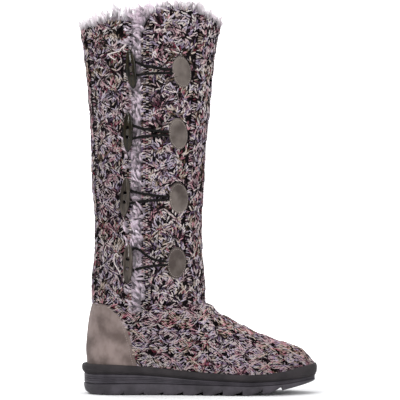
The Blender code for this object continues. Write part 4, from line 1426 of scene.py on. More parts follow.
def in_slit(at):
    """Whether a point on the outer side lies in the slit or in the front flap's cut-off corner."""
    x, y, z = np.moveaxis(at, -1, 0)
    slit = (np.abs(x - SLIT_MIDDLE) < slit_half_width(z) + EDGE_MARGIN) & (z > SLIT_BOTTOM)
    across = np.clip((x - SLIT_FRONT) / FLAP_CORNER_WIDTH, 0, 1)
    corner = COLLAR_HEIGHT - FLAP_CORNER_HEIGHT * (1 - np.sqrt(1 - (1 - across) ** 2))
    ahead = (x > SLIT_REAR) & (x < SLIT_FRONT + FLAP_CORNER_WIDTH)
    return (y < 0) & (slit | (ahead & (z > corner - EDGE_MARGIN)))


def under_oval(at):
    """Whether a point on the outer side lies under a suede oval, or under the holes of a toggle."""
    x, y, z = np.moveaxis(at, -1, 0)
    hidden = np.zeros(x.shape, bool)
    for row in closure_rows():
        lean = row["patch_tilt"]
        off_x, off_z = x - row["patch_x"], z - row["patch_z"]
        along = (off_x * math.cos(lean) + off_z * math.sin(lean)) / (PATCH_WIDTH / 2)
        up = (off_z * math.cos(lean) - off_x * math.sin(lean)) / (PATCH_LENGTH / 2)
        # Stitches under a toggle's holes are left out, so that the knit's dark ground shows in the
        # holes as painted shade
        hidden |= (along**2 + up**2 < 1.0) | under_holes(row, x, z)
    return hidden & (y < 0)


def under_holes(row, x, z):
    """Whether places lie under a toggle's middle, where they would show through its holes."""
    near = np.abs(x - row["toggle_x"]) < TOGGLE_WIDTH * 0.38
    return near & (np.abs(z - row["toggle_z"]) < HOLE_SPACING)


def above_collar(at):
    """Whether a point on the shaft lies above the collar's line."""
    x, y, z = np.moveaxis(at, -1, 0)
    place = (x - shaft_centre(z)) / shaft_half_depth(z)
    return z > collar_lines(place, y < 0) - EDGE_MARGIN / 3


def columns_of(rows):
    """Each column's kind and its two edges as shares of the whole width."""
    widths = np.array([width for _, width in rows])
    edges = np.concatenate([[0], np.cumsum(widths)]) / widths.sum()
    return [(kind, edges[i], edges[i + 1]) for i, (kind, _) in enumerate(rows)]


def make_knit(settings):
    """The marled cable knit as real stitches, in one piece for each part of the boot."""
    yarn = yarn_look()
    shaft_skin = shaft_sheet()

    def shaft_mask(u, v):
        at = shaft_skin.at(u, v)[0]
        return ~(above_collar(at) | in_slit(at) | under_oval(at))

    groups = {"front": [], "inner": [], "rear": []}
    for i, (kind, low, high) in enumerate(columns_of(SHAFT_COLUMNS)):
        part = "front" if high < FRONT_END else "inner" if high < INNER_END else "rear"
        groups[part].append(cable_legs(shaft_skin, kind, low, high, settings, shaft_mask, 11 + i))
    groups["front"].append(edge_legs(1.0, settings))
    groups["rear"].append(edge_legs(-1.0, settings))
    for part, made in groups.items():
        piece = add_legs(f"knit_shaft_{part}", join_legs(made), yarn)
        if part == "front":
            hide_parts("upper")
    for side in SIDES:
        skin = foot_sheet(side)

        def foot_mask(u, v):
            at = skin.at(u, v)[0]
            low = at[..., 2] < welt_line(at[..., 0]) - EDGE_MARGIN
            return ~(low | over_counter(at) | in_slit(at) | (u > 0.985))

        made = [
            cable_legs(skin, kind, low, high, settings, foot_mask, 61 + 10 * i)
            for i, (kind, low, high) in enumerate(columns_of(FOOT_COLUMNS))
        ]
        legs = join_legs(made)
        # Painted light: the foot's yarn is lightened, more so towards the toe, where light falls on it
        # from above
        ahead = np.clip((legs["at"][:, :1] - ANKLE_FRONT) / (TOE - ANKLE_FRONT), 0, 1)
        most = TINT_LIMIT / legs["tint"].max(1, keepdims=True)
        legs["tint"] *= np.minimum(FOOT_PAINTED_LIGHT * (1 + TOE_PAINTED_LIGHT * ahead), most)
        add_legs(f"knit_foot_{side}", legs, yarn)


def edge_legs(way, settings):
    """Small blobs down one edge of the slit, each lying across it: the front edge's way is 1."""
    flap = COLLAR_HEIGHT - FLAP_CORNER_HEIGHT
    top = flap if way > 0 else float(collar_line(-0.25, "lateral"))
    count = round((top - SLIT_BOTTOM) / (settings.course * 0.95))
    z = np.linspace(SLIT_BOTTOM + BLOB_END, top - BLOB_END, count)
    x = SLIT_MIDDLE + way * (slit_half_width(z) + EDGE_MARGIN * 0.6)
    at = side_point(x, z, BLOB_DEPTH)
    along = unit(slope(lambda spot: side_point(spot, z, BLOB_DEPTH), x, SIDE_STEP))
    up = unit(slope(lambda rise: side_point(x, rise, BLOB_DEPTH), z, SIDE_STEP))
    chance = hashed(np.arange(count), 0, 0, 5 + way)
    return {
        "at": at,
        "along": unit(along * way + up * (0.25 + 0.3 * chance[:, None])),
        "normal": unit(np.cross(along, up)),
        "length": 0.0042 + 0.0012 * chance,
        "width": np.full(count, 0.0021),
        "thick": np.full(count, YARN_THICKNESS * 1.15),
        "chance": chance,
        "tint": yarn_tints(at, chance, 3, settings),
    }


def applied(piece, cutters):
    """A piece's mesh with the cutters taken out of it."""
    for cutter in cutters:
        made = piece.modifiers.new("cut", "BOOLEAN")
        made.operation = "DIFFERENCE"
        made.solver = "EXACT"
        made.object = cutter
    bpy.context.view_layer.update()
    graph = bpy.context.evaluated_depsgraph_get()
    mesh = bpy.data.meshes.new_from_object(piece.evaluated_get(graph), depsgraph=graph)
    piece.modifiers.clear()
    piece.data = mesh
    for cutter in cutters:
        bpy.data.objects.remove(cutter)
    return piece


def prism(name, low, high):
    """A closed prism between two matching rings of points, for cutting only."""
    count = len(low)
    lids = [list(range(count))[::-1], list(range(count, 2 * count))]
    mesh = bpy.data.meshes.new(name)
    walls = grid_faces(2, count, around=True).tolist()
    mesh.from_pydata(np.concatenate([low, high]).tolist(), [], walls + lids)
    return linked(name, mesh)


def slit_cutter():
    """The slit and the flap's corner as a prism through the outer side."""
    rise = SLIT_BOTTOM + SLIT_TAPER * np.linspace(0, 1, 12) ** 2
    top = COLLAR_HEIGHT + COLLAR_FUR_RISE
    turn = np.linspace(math.pi / 2, 0, 14)
    corner_x = SLIT_FRONT + FLAP_CORNER_WIDTH * (1 - np.cos(turn))
    corner_z = COLLAR_HEIGHT - FLAP_CORNER_HEIGHT * (1 - np.sin(turn))
    half = slit_half_width(rise)
    corner = [SLIT_REAR, SLIT_FRONT + FLAP_CORNER_WIDTH]
    x = np.concatenate([SLIT_MIDDLE - half, corner, corner_x, (SLIT_MIDDLE + half)[:0:-1]])
    z = np.concatenate([rise, [top, top], corner_z, rise[:0:-1]])
    outline = np.stack([x, 0 * x, z], -1)
    return prism("slit_cutter", outline - [0, COLLAR_WIDTH, 0], outline - [0, WALL, 0])


def make_linings(settings, fur):
    """The knit's ground, a dark sheet of painted shade between the stitches, and the fleece lining: two
    thin shells inside the upper, open at the slit.
    """
    rows = boot_rows(120, 26, 44)
    face = WALL + LINING_GAP
    ground, fleece = backing_look(settings), fur_look("fleece_lining", False, fur)
    for name, outer, inner, finish, slot in (
        ("knit_ground", settings.relief * GROUND_DEPTH, WALL, ground, "knit"),
        ("fleece_lining", face, face + LINING_THICKNESS, fleece, "fur"),
    ):
        rings = np.concatenate([moved_rows(rows, -outer), moved_rows(rows, -inner)[::-1]])
        piece = add_tube(name, rings, finish, slot)
        applied(piece, [slit_cutter()])


def make_footbed(settings):
    """The footbed's fleece, a low cushion inside the foot."""
    rings = foot_rows(FOOTBED["level"], 96)
    rings = [ring - plan_normals(ring) * inset for ring, inset in zip(rings, FOOTBED["inset"])]
    finish = fur_look("fleece_footbed", False, settings)
    piece = add_slab("fleece_footbed", np.array(rings), finish, "fur")
    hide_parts("insole")


# Fur
def lock_strands(roots, ways, lengths, spread, generator):
    """Strands in locks: each starts near its lock's root and ends near its tip.

    A lock bends from its way towards a field of chance. A strand's offset from the lock's own line
    shrinks from root to tip, and its length varies.
    """
    bend = unit(patches_vector(roots, 0.007) + np.array([0.0, 0.0, 0.2]))
    middles = roots + ways * (lengths * 0.5)[:, None]
    tips = roots + ways * (lengths * 0.86)[:, None] + bend * (lengths * 0.34)[:, None]
    count = len(roots) * LOCK_STRANDS
    owner = np.repeat(np.arange(len(roots)), LOCK_STRANDS)
    offset = generator.normal(0, spread, (count, 3))
    offset -= ways[owner] * (offset * ways[owner]).sum(-1, keepdims=True)
    reach = (0.65 + 0.5 * generator.random(count))[:, None]
    start = roots[owner] + offset
    halfway = middles[owner] + offset * 0.8
    end = middles[owner] + (tips - middles)[owner] * reach + offset * 0.45
    end += generator.normal(0, spread * 0.25, (count, 3))
    return start, halfway, end, owner


def circles(side, other, spin):
    """Unit circles in the planes of two directions, at the angles of spin."""
    return side[:, None] * np.cos(spin)[:, None] + other[:, None] * np.sin(spin)[:, None]


def add_fur(name, roots, halfway, tips, width, tints, painted_shading, finish):
    """Tapered strands from arrays: a three-sided base, a middle ring and a tip for each.

    Three values multiply a strand's colour at base, middle and tip: painted shade near the root, where
    strands shade each other, and painted light towards the tip.
    """
    count = len(roots)
    side = unit(np.cross(tips - roots, np.array([0.31, 0.87, 0.38])))
    ring = circles(side, unit(np.cross(tips - roots, side)), 2 * math.pi * np.arange(3) / 3)
    base, waist = roots[:, None] + ring * width / 2, halfway[:, None] + ring * width * 0.40
    points = np.concatenate([base, waist, tips[:, None]], 1)
    quads = grid_faces(2, 3, around=True)
    tris = np.concatenate([fan(3, 3, 6), [[2, 1, 0]]])
    wide = np.repeat([0, 0.55, 1.0], (3, 3, 1))
    high = np.array([0.0, 0.33, 0.66, 0.0, 0.33, 0.66, 0.5])
    maps = [chart(c, count, wide[c], unwrapped(high, c)) for c in (quads, tris)]
    # Painted shade at each strand's root, painted light towards its tip
    tint = np.clip(tints[:, None] * np.repeat(painted_shading, (3, 3, 1))[:, None], 0, FUR_LIMIT)
    attributes = [("tint", "FLOAT_COLOR", with_alpha(tint))]
    faces = [copied(quads, count, 7), copied(tris, count, 7)]
    return add_mesh(name, points, faces, finish, "fur", corners=maps, attributes=attributes)


def patches_vector(points, size):
    """Three fields of chance as one vector, from -1 to 1."""
    return np.stack([patches_of_chance(points, size, seed) * 2 - 1 for seed in (21, 22, 23)], -1)


def fur_tints(roots, owner, generator, settings):
    """Colours of strands: a lock's drifts from cool to warm and is deepened by chance.

    Each strand is then dimmed or lit by a chance of its own.
    """
    depth = 0.45 * generator.random(len(roots))[:, None] ** 2
    drift = patches_of_chance(roots, TINT_DRIFT, 31)[:, None]
    tones = settings.cool, settings.warm, settings.deep
    cool, warm, deep = (np.array(tone[:3]) for tone in tones)
    mixed = (cool * (1 - drift) + warm * drift) * (1 - depth) + deep * depth
    return mixed[owner] * (0.75 + 0.4 * generator.random(len(owner)))[:, None]


def make_collar_fur(settings):
    """The collar's roll and its strands, which stand up over the knit's edge and lean outwards."""
    generator = np.random.default_rng(4)
    count = 160
    top, under = shaft_rows([1.0, 0.94], count)
    outward = plan_normals(top)
    drop = (under - top) / (top[:, 2:] - under[:, 2:])
    tuft = patches_of_chance(top, 0.010, 8) - 0.5
    rings = []
    for out, up, lock in zip(*COLLAR_FUR.values()):
        base = top + drop * max(-up, 0.0) * COLLAR_FUR_DEPTH
        reach = (out + 0.3 * lock * tuft) * COLLAR_FUR_THICKNESS - WALL - 0.0012
        ring = base + reach[:, None] * outward
        ring[:, 2] += COLLAR_FUR_RISE * 0.6 * (max(up, 0.0) + 0.5 * lock * tuft)
        rings.append(ring)
    section = np.array(rings)
    add_tube("fur_collar_skin", section, fur_look("fur_skin", False, settings), "fur")
    number = round(settings.collar_strands / LOCK_STRANDS)
    spot = generator.random(number) * count
    level = 2.4 + 4.4 * generator.random(number)
    roots = grid_points(section, level, spot)
    centre = grid_points(section.mean(0)[None], 0 * level, spot)
    ways = unit(roots - centre) * 0.75 + np.array([0.0, 0.0, 0.85])
    ways = unit(ways + patches_vector(roots, 0.008) * 0.5 + generator.normal(0, 0.2, (number, 3)))
    lengths = settings.fur_length * (0.55 + 0.45 * generator.random(number))
    tuft = np.exp(-(((roots[:, 0] - TUFT_PLACE) / TUFT_REACH) ** 2)) * (roots[:, 1] < 0)
    lengths *= 1 + TUFT_EXTRA * tuft
    made = lock_strands(roots - ways * 0.001, ways, lengths, COLLAR_LOCK, generator)
    tints = fur_tints(roots, made[3], generator, settings)
    finish = fur_look("fur_strands", True, settings)
    width = settings.strand
    strands = add_fur("fur_collar_strands", *made[:3], width, tints, COLLAR_PAINTED_SHADING, finish)
    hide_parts("fur_collar")


def grid_points(rows, level, spot):
    """Points at fractional places of stacked rings: a level up the stack, a spot round the ring."""
    count = rows.shape[1]
    i = np.minimum(level.astype(int), max(len(rows) - 2, 0))
    j = spot.astype(int) % count
    s, t = (level - i)[:, None], (spot - spot.astype(int))[:, None]
    above = np.minimum(i + 1, len(rows) - 1)
    near = rows[i, j] * (1 - s) + rows[above, j] * s
    far = rows[i, (j + 1) % count] * (1 - s) + rows[above, (j + 1) % count] * s
    return near * (1 - t) + far * t


def add_slit_skin(settings):
    """The strip behind the slit, which swells into it and has a ruffled face."""
    z = np.linspace(SLIT_BOTTOM - 0.004, COLLAR_HEIGHT - COLLAR_DIP * 0.5, 90)[:, None]
    across = np.linspace(-1, 1, 13)
    x = SLIT_MIDDLE + across * (SLIT_WIDTH / 2 + STRIP_MARGIN) + 0 * z
    height = z + 0 * x
    swell = np.clip(1 - (across * 1.45) ** 4, 0, 1) * round_off((z - SLIT_BOTTOM) / 0.02)
    ruffle = patches_of_chance(np.stack([x, 0 * x, height], -1), 0.006, 4) - 0.5
    outer = side_point(x, height, STRIP_OUTER + STRIP_SWELL * swell + STRIP_RUFFLE * ruffle)
    inner = side_point(x, height, STRIP_INNER + 0 * x)
    add_sheet("fur_slit_skin", outer, inner, fur_look("fur_slit_skin", False, settings), "fur")


def make_slit_fur(settings):
    """The strip behind the slit and its strands, which sweep up and back over the rear edge."""
    add_slit_skin(settings)
    generator = np.random.default_rng(9)
    number = round(settings.slit_strands / LOCK_STRANDS)
    rise = SLIT_BOTTOM + 0.003 + (COLLAR_HEIGHT - 0.004 - SLIT_BOTTOM) * generator.random(number)
    spread = (generator.random(number) - 0.5) * 2
    half = slit_half_width(rise) - 0.0008
    rear, front = (np.interp(rise, FUR_SPREAD["height"], FUR_SPREAD[end]) for end in ("rear", "front"))
    wide_x = (rear + front) / 2 + spread * (front - rear) / 2
    slit_x = SLIT_MIDDLE + spread * half + 0.0008
    root_x = np.where(generator.random(number) < SPREAD_SHARE, wide_x, slit_x)
    outside = np.clip((np.abs(root_x - SLIT_MIDDLE) - half) / 0.002, 0, 1)
    lift = ROOT_DEPTH + ROOT_STEP * outside + ROOT_CROWN * (1 - spread**2)
    corner = generator.random(number) < CORNER_SHARE
    up = generator.random(number) ** 0.7
    width = 0.004 + FLAP_CORNER_WIDTH * (1 - np.sqrt(1 - up**2))
    rise = np.where(corner, COLLAR_HEIGHT - FLAP_CORNER_HEIGHT * (1 - up), rise)
    root_x = np.where(corner, SLIT_FRONT - 0.004 + width * generator.random(number), root_x)
    outside = np.where(corner, 0.3, outside)
    lift = np.where(corner, CORNER_DEPTH, lift)
    for row in closure_rows():
        above = rise - row["toggle_z"]
        near = (above > -CORD_CLEARANCE) & (above < CORD_CLEARANCE + row["bow"])
        sunk = (near & (root_x > SLIT_MIDDLE)) | under_holes(row, root_x, rise)
        lift = np.where(sunk, lift - CORD_SINK, lift)
    roots = side_point(root_x, rise, lift)
    normal = unit(side_point(root_x, rise, SIDE_STEP) - side_point(root_x, rise))
    rising = (0.62 - 0.40 * outside)[:, None]
    ways = normal * rising + np.array([-0.50, 0.0, 0.60]) + patches_vector(roots, 0.009) * 0.7
    ways = unit(ways + generator.normal(0, 0.15, (number, 3)))
    lengths = settings.fur_length * 0.8 * (0.6 + 0.5 * generator.random(number))
    made = lock_strands(roots, ways, lengths, SLIT_LOCK, generator)
    tints = fur_tints(roots, made[3], generator, settings) * np.array(settings.slit_tint[:3])
    finish = fur_look("fur_slit", True, settings)
    width = settings.strand * 1.25
    strands = add_fur("fur_slit_strands", *made[:3], width, tints, SLIT_PAINTED_SHADING, finish)
    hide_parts("fur_gusset")


# Suede
def make_counter(settings):
    """The heel counter: over the heel's curve, its edge from the counter's own table, rounded down."""
    near = np.array([0.965, 0.98, 0.99, 0.996, 1.0])
    share = np.concatenate([np.linspace(0, 0.945, 32), near])[:, None]
    half = np.concatenate([np.linspace(0, 0.95, 36), near])
    turn = np.concatenate([-half[:0:-1], half])
    edge = HEEL_BACK + COUNTER_REACH * counter["reach"](share)
    back = HEEL_BACK + 0 * share

    def height(x):
        low = welt_line(x) - COUNTER_TUCK
        return low + share * (COUNTER_HEIGHT - low)

    for _ in range(6):
        back = heel_curve(np.minimum(foot_level(back, height(back)), 1.0))
    x = back + 0.00002 + (edge - back) * turn * turn
    z = height(x)
    offset = side_offsets(x, z, turn <= 0) * (np.abs(turn) > 1e-9)
    skin = np.stack([x, middle(x) + offset, z], -1)
    normal = unit(np.cross(np.gradient(skin, axis=0), np.gradient(skin, axis=1)))
    normal *= np.sign(-normal[len(share) // 2, len(turn) // 2, 0])
    spans = (1 - share) * COUNTER_SPANS[0], (1 - np.abs(turn)) * COUNTER_SPANS[1]
    lift = COUNTER_FACE[0] + COUNTER_FACE[1] * round_off(np.minimum(*spans) / COUNTER_ROUND)
    outer = skin + normal * lift[..., None]
    inner = skin - normal * COUNTER_BACK
    finish = suede_look("taupe_suede", *shades(settings, "counter"))
    piece = add_sheet("suede_counter", outer, inner, finish, "suede", sharp=60)
    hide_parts("heel_counter")
    row, column = len(share) - COUNTER_SEAM[0], COUNTER_SEAM[1]
    path, normals = (
        np.concatenate([grid[:row, column], grid[row, column:-column], grid[row::-1, -column - 1]])
        for grid in (outer, normal)
    )
    add_seam("counter_seam", path, normals, shades(settings, "counter_thread"), COUNTER_PITCH)


def add_seam(name, path, normals, tones, pitch):
    """Short threads laid end to end along a path, each a small leaf sunk halfway."""
    run = run_of(path)
    at = np.arange(pitch, run[-1] - pitch, pitch)
    spot = read_along(run, path, at)
    along = unit(read_along(run, path, at + pitch / 4) - spot)
    points, quads, tips, around = leaf()
    local = points * np.array([pitch * 0.72, *SEAM_THREAD])
    placed = laid(local, spot, along, unit(read_along(run, normals, at)))
    count = len(at)
    faces = [copied(quads, count, len(points)), copied(tips, count, len(points))]
    maps = [chart(c, count, points[c][..., 0] + 0.5, around[c] * 0.9) for c in (quads, tips)]
    return add_mesh(name, placed, faces, twine_look(name, *tones), "suede", corners=maps)


def closure_rows():
    """The four closures' places in metres, from their table of shares."""
    rows = []
    for i in range(len(CLOSURES["bow"])):
        row = {name: float(CLOSURES[name][i]) for name in CLOSURES}
        rows.append(
            {
                "toggle_x": SLIT_REAR - row["set_back"] * SLIT_WIDTH,
                "toggle_z": row["toggle_height"] * COLLAR_HEIGHT,
                "patch_x": SLIT_FRONT + row["reach"] * PATCH_WIDTH,
                "patch_z": row["patch_height"] * COLLAR_HEIGHT,
                "toggle_tilt": math.radians(row["toggle_tilt"]),
                "patch_tilt": math.radians(row["patch_tilt"]),
                "bow": row["bow"] * CORD_DIAMETER,
            }
        )
    return rows


def make_patches(settings):
    """Suede ovals: discs that follow the shaft, with a rounded rim and a ring of stitches."""
    finish = suede_look("dark_taupe_suede", *shades(settings, "oval"))
    spots = 64
    turn = 2 * math.pi * np.arange(spots) / spots
    for i, row in enumerate(closure_rows()):
        cos, sin = math.cos(row["patch_tilt"]), math.sin(row["patch_tilt"])

        def oval(size, lift):
            along = size * PATCH_WIDTH / 2 * np.cos(turn)
            up = size * PATCH_LENGTH / 2 * np.sin(turn)
            x = row["patch_x"] + along * cos - up * sin
            z = row["patch_z"] + up * cos + along * sin
            return side_point(x, z, lift * PATCH_THICKNESS)

        rings = [oval(size, lift) for size, lift in zip(OVAL["size"], OVAL["lift"])]
        poles = [oval(0.0, lift)[:1] for lift in OVAL["lift"][[0, -1]]]
        faces = capped_faces(len(rings), spots)
        points = np.concatenate([*rings, *poles])
        piece = add_mesh(f"suede_patch_{i + 1}", points, faces, finish, "suede", sharp=60)
        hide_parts(f"patch_{i + 1}")
        ring = oval(OVAL_SEAM, 0.95)
        ring = np.concatenate([ring, ring[:3]])
        outwards = unit(ring - oval_axis(ring))
        add_seam(f"patch_seam_{i + 1}", ring, outwards, shades(settings, "oval_thread"), OVAL_PITCH)


def oval_axis(points):
    """Points on the shaft's own axis at the same heights."""
    return np.stack([shaft_centre(points[:, 2]), 0 * points[:, 2], points[:, 2]], -1)


# Closures
def seat(x, z, lift, tilt):
    """Origin and axes of a piece that lies on the outer side: width, length and outwards."""
    step = THREAD_DIAMETER
    spot = np.array([x, x, x, x + step, x - step])
    rise = np.array([z, z + step, z - step, z, z])
    points = side_point(spot, rise, lift)
    up = unit(points[1] - points[2])
    normal = unit(np.cross(points[3] - points[4], up))
    wide = np.cross(up, normal)
    turned = wide * math.cos(tilt) + up * math.sin(tilt)
    length = up * math.cos(tilt) - wide * math.sin(tilt)
    return points[0], np.stack([turned, length, normal])


def squared(turn, power):
    """A turn's cosine and sine, each raised to a power and keeping its sign."""
    return [np.sign(part) * np.abs(part) ** power for part in (np.cos(turn), np.sin(turn))]


def bead(rows, columns):
    """A toggle's half-sections as closed rings: a superellipse across, the toggle's tables along."""
    spot = -np.cos(np.linspace(0, math.pi, rows)[1:-1])[:, None]
    cos, sin = squared(2 * math.pi * np.arange(columns) / columns, BEAD_POWER)
    end = np.sqrt(np.clip(1 - np.abs(spot) ** 14, 0, 1))
    x = TOGGLE_WIDTH / 2 * toggle["width"](spot / 2) * end * cos
    z = TOGGLE_THICKNESS / 2 * toggle["thickness"](spot / 2) * end * sin
    return np.stack([x, TOGGLE_LENGTH / 2 * spot + 0 * x, z], -1)


def make_toggles(settings):
    """Horn toggles with two drilled holes, and the twine through them."""
    finish = horn_look(settings)
    twine = twine_look("taupe_twine", *shades(settings, "twine"))
    pale = twine_look("pale_yarn", *shades(settings, "yarn_end"))
    rings = bead(54, 40)
    faces = capped_faces(*rings.shape[:2])
    poles = np.array([[0, -TOGGLE_LENGTH / 2, 0], [0, TOGGLE_LENGTH / 2, 0]])
    local = np.concatenate([rings.reshape(-1, 3), poles])
    lift = 2 * GAP + CORD_DIAMETER + TOGGLE_THICKNESS / 2
    spin = 2 * math.pi * np.arange(28) / 28
    disc = HOLE_DIAMETER / 2 * np.stack([np.cos(spin), np.sin(spin), 0 * spin], -1)
    reach = HOLE_SPACING / 2 - HOLE_DIAMETER * 0.47
    front = TOGGLE_THICKNESS / 2 + THREAD_DIAMETER * 0.15
    back = -TOGGLE_THICKNESS / 2 - CORD_DIAMETER
    along, depth = squared(np.linspace(0, 2 * math.pi, 60, endpoint=False), TWINE_POWER)
    depth = (front + back) / 2 + (front - back) / 2 * depth
    path = np.stack([0 * along, reach * along, depth], -1)
    for i, row in enumerate(closure_rows()):
        origin, axes = seat(row["toggle_x"], row["toggle_z"], lift, row["toggle_tilt"])
        piece = add_mesh(f"horn_toggle_{i + 1}", origin + local @ axes, faces, finish, "horn")
        drills = []
        for sign in (-1, 1):
            hole = [0, sign * HOLE_SPACING / 2, 0]
            ends = [disc + hole + [0, 0, end * TOGGLE_THICKNESS] for end in (-1, 1)]
            drills.append(prism("drill", *(origin + ring @ axes for ring in ends)))
        applied(piece, drills)
        piece.data.shade_smooth()
        piece.data.set_sharp_from_angle(angle=math.radians(38))
        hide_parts(f"toggle_{i + 1}")
        loops = [origin + (path + [offset, 0, 0]) @ axes for offset in TWINE_OFFSETS]
        width = THREAD_DIAMETER * TWINE_SHARE
        thread = add_cords(f"twine_{i + 1}", loops, width, twine, "twine", True)
        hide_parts(f"thread_{i + 1}")
    make_yarn_ends(pale)


def make_yarn_ends(finish):
    """Pale ends of yarn left loose round the first and the last toggle."""
    for i, route in enumerate(YARN_ROUTES):
        x, z = np.array(route).T
        path = smooth_path(side_point(x, z, YARN_LIFT), YARN_STEP)
        width = THREAD_DIAMETER * YARN_SHARE
        add_cords(f"yarn_end_{i + 1}", [path], width, finish, "twine", False)


def add_cords(name, paths, diameter, finish, slot, closed, relief=0.0, sides=10):
    """Tubes along paths in one mesh: circles across each path, with a braid's relief, ends closed.

    A loop's circles stand across its own plane. Any other path's side direction is its tangent
    crossed with the level way out from the shaft.
    """
    points, quads, tips, start = [], [], [np.zeros((0, 3), int)], 0
    spin = 2 * math.pi * np.arange(sides) / sides
    for path in paths:
        rows = len(path)
        if closed:
            tangent = unit(way_round(path))
            side = np.cross(tangent, unit(np.cross(tangent[0], tangent[rows // 4])))
            quads.append(grid_faces(rows, sides, around=True, looped=True, start=start))
        else:
            tangent = unit(np.gradient(path, axis=0))
            level = unit(path - np.array([SHAFT_CENTRE, 0.0, 0.0])) * np.array([1.0, 1.0, 0.0])
            side = unit(np.cross(tangent, unit(level + 1e-6)))
            for found, made in zip((quads, tips), capped_faces(rows, sides, start)):
                found.append(made)
        step = np.linalg.norm(path[1] - path[0]) / diameter * BRAID_PITCH
        turn = np.arange(rows)[:, None] * step
        braid = np.abs(np.sin(turn + spin)) + np.abs(np.sin(turn - spin))
        radius = diameter / 2 * (1 - relief + relief * braid[..., None])
        rings = path[:, None] + circles(side, np.cross(side, tangent), spin) * radius
        points += [rings.reshape(-1, 3), path[:0] if closed else path[[0, -1]]]
        start = sum(map(len, points))
    faces = [np.concatenate(quads), np.concatenate(tips)]
    return add_mesh(name, np.concatenate(points), faces, finish, slot)


def smooth_path(points, step):
    """Points a step apart on a smooth curve through a route's own points."""
    points = np.asarray(points, float)
    before = np.vstack([2 * points[0] - points[1], points[:-1]])
    after = np.vstack([points[1:], 2 * points[-1] - points[-2]])
    tangent = ((after - before) / 2)[:, None]
    t = np.linspace(0, 1, 16, endpoint=False)[None, :, None]
    a, b = points[:-1, None], points[1:, None]
    fine = a * (1 + 2 * t) * (1 - t) ** 2 + b * t * t * (3 - 2 * t)
    fine = fine + tangent[:-1] * t * (1 - t) ** 2 - tangent[1:] * t * t * (1 - t)
    fine = np.vstack([fine.reshape(-1, 3), points[-1:]])
    return evened(fine, max(4, round(run_of(fine)[-1] / step)))


def make_cords(settings):
    """Double black cords: out from under a suede oval, round behind the toggle and back."""
    finish = cord_look(settings)
    half = HOLE_SPACING / 2
    share, strand_up, strand_bow = CORD_STRAND.values()
    along, bight_up, bight_bow = CORD_BIGHT.values()
    up = np.concatenate([strand_up * CORD_DIAMETER, bight_up * half])
    bow = np.concatenate([strand_bow, bight_bow])
    lift = GAP + CORD_DIAMETER / 2 - CORD_TUCK * np.clip(1 - np.arange(len(up)) / 1.5, 0, 1)
    for i, row in enumerate(closure_rows()):
        x, z = row["toggle_x"], row["toggle_z"]
        rim = row["patch_x"] - PATCH_WIDTH * 0.42
        x = np.concatenate([x + share * (rim - x), x + along * half])
        z = np.concatenate([z + share * (row["patch_z"] - z), z + 0 * along])
        upper = side_point(x, z + up + bow * row["bow"], lift)
        lower = side_point(x, z - up, lift)[-2::-1]
        path = smooth_path(np.concatenate([upper, lower]), settings.cord_step)
        braid = False, BRAID_RELIEF, 12
        piece = add_cords(f"braided_cord_{i + 1}", [path], CORD_DIAMETER, finish, "cord", *braid)
        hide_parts(f"cord_{i + 1}")


# Sole
def sole_edge(inset, count):
    """The sole's plan outline: the upper's feather line plus the welt's reach, less an inset."""
    feather = foot_rows([0.0], count)[0]
    share = (feather[:, 0] - FEATHER_BACK) / (TOE - FEATHER_BACK)
    to_side = np.clip(np.minimum(share, 1 - share) / 0.16, 0.0, 1.0)
    end = np.where(share < 0.5, HEEL_PROJECTION, TOE_PROJECTION)
    reach = end + (SIDE_PROJECTION - end) * to_side * to_side * (3 - 2 * to_side)
    return (feather + plan_normals(feather) * (reach - inset)[:, None])[:, :2]


def placed_edge(inset, places):
    """The same outline read at places from back to front, the outer side and then the inner.

    An inset moves the places near both ends inwards and leaves the rest where they are.
    """
    edge = sole_edge(inset, 400)
    half = len(edge) // 2
    lateral, medial = edge[: half + 1], np.concatenate([edge[half:], edge[:1]])[::-1]
    start, end = places[0], places[-1]
    rear = np.clip(1 - (places - start) / SOLE_END, 0, 1) * (edge[0, 0] - start)
    fore = np.clip(1 - (end - places) / SOLE_END, 0, 1) * (edge[half, 0] - end)
    x = places + rear + fore
    outer = np.interp(x, lateral[:, 0], lateral[:, 1])
    inner = np.interp(x, medial[:, 0], medial[:, 1])
    x = np.concatenate([x, x[-2:0:-1]])
    return np.column_stack([x, np.concatenate([outer, inner[-2:0:-1]])])


def tread(x):
    """Height of the tread over the floor line: notches with a steep front and a long run behind."""
    total = 0 * x
    for index in range(NOTCHES):
        grown = min(1.0, 0.34 + 0.11 * index)
        at = FIRST_NOTCH + LUG_PITCH * index
        run = NOTCH_RUN * grown
        share = np.clip((x - at + run) / run, 0, 1) * (x <= at)
        total = np.maximum(total, share * NOTCH_DEPTH * grown)
    return total


def sole_places():
    """Places along the sole, crowded at both ends and doubled at each notch's steep face."""
    even = SOLE_BACK + SOLE_LENGTH * (1 - np.cos(math.pi * np.linspace(0, 1, 150))) / 2
    at = FIRST_NOTCH + LUG_PITCH * np.arange(NOTCHES)
    extra = np.concatenate([at - 0.00002, at + 0.00030, at - 0.0015, at + 0.0018])
    return np.unique(np.concatenate([even, extra]))


def layer_rings(wall, bottom_at, top_at, places):
    """Rings up a layer's side wall, each at its own height and inset."""
    rings = []
    for height, inset in zip(wall["height"], wall["inset"]):
        edge = placed_edge(inset * SIDE_PROJECTION, places)
        low, high = bottom_at(edge[:, 0]), top_at(edge[:, 0])
        rings.append(np.column_stack([edge, low + height * (high - low)]))
    return np.array(rings)


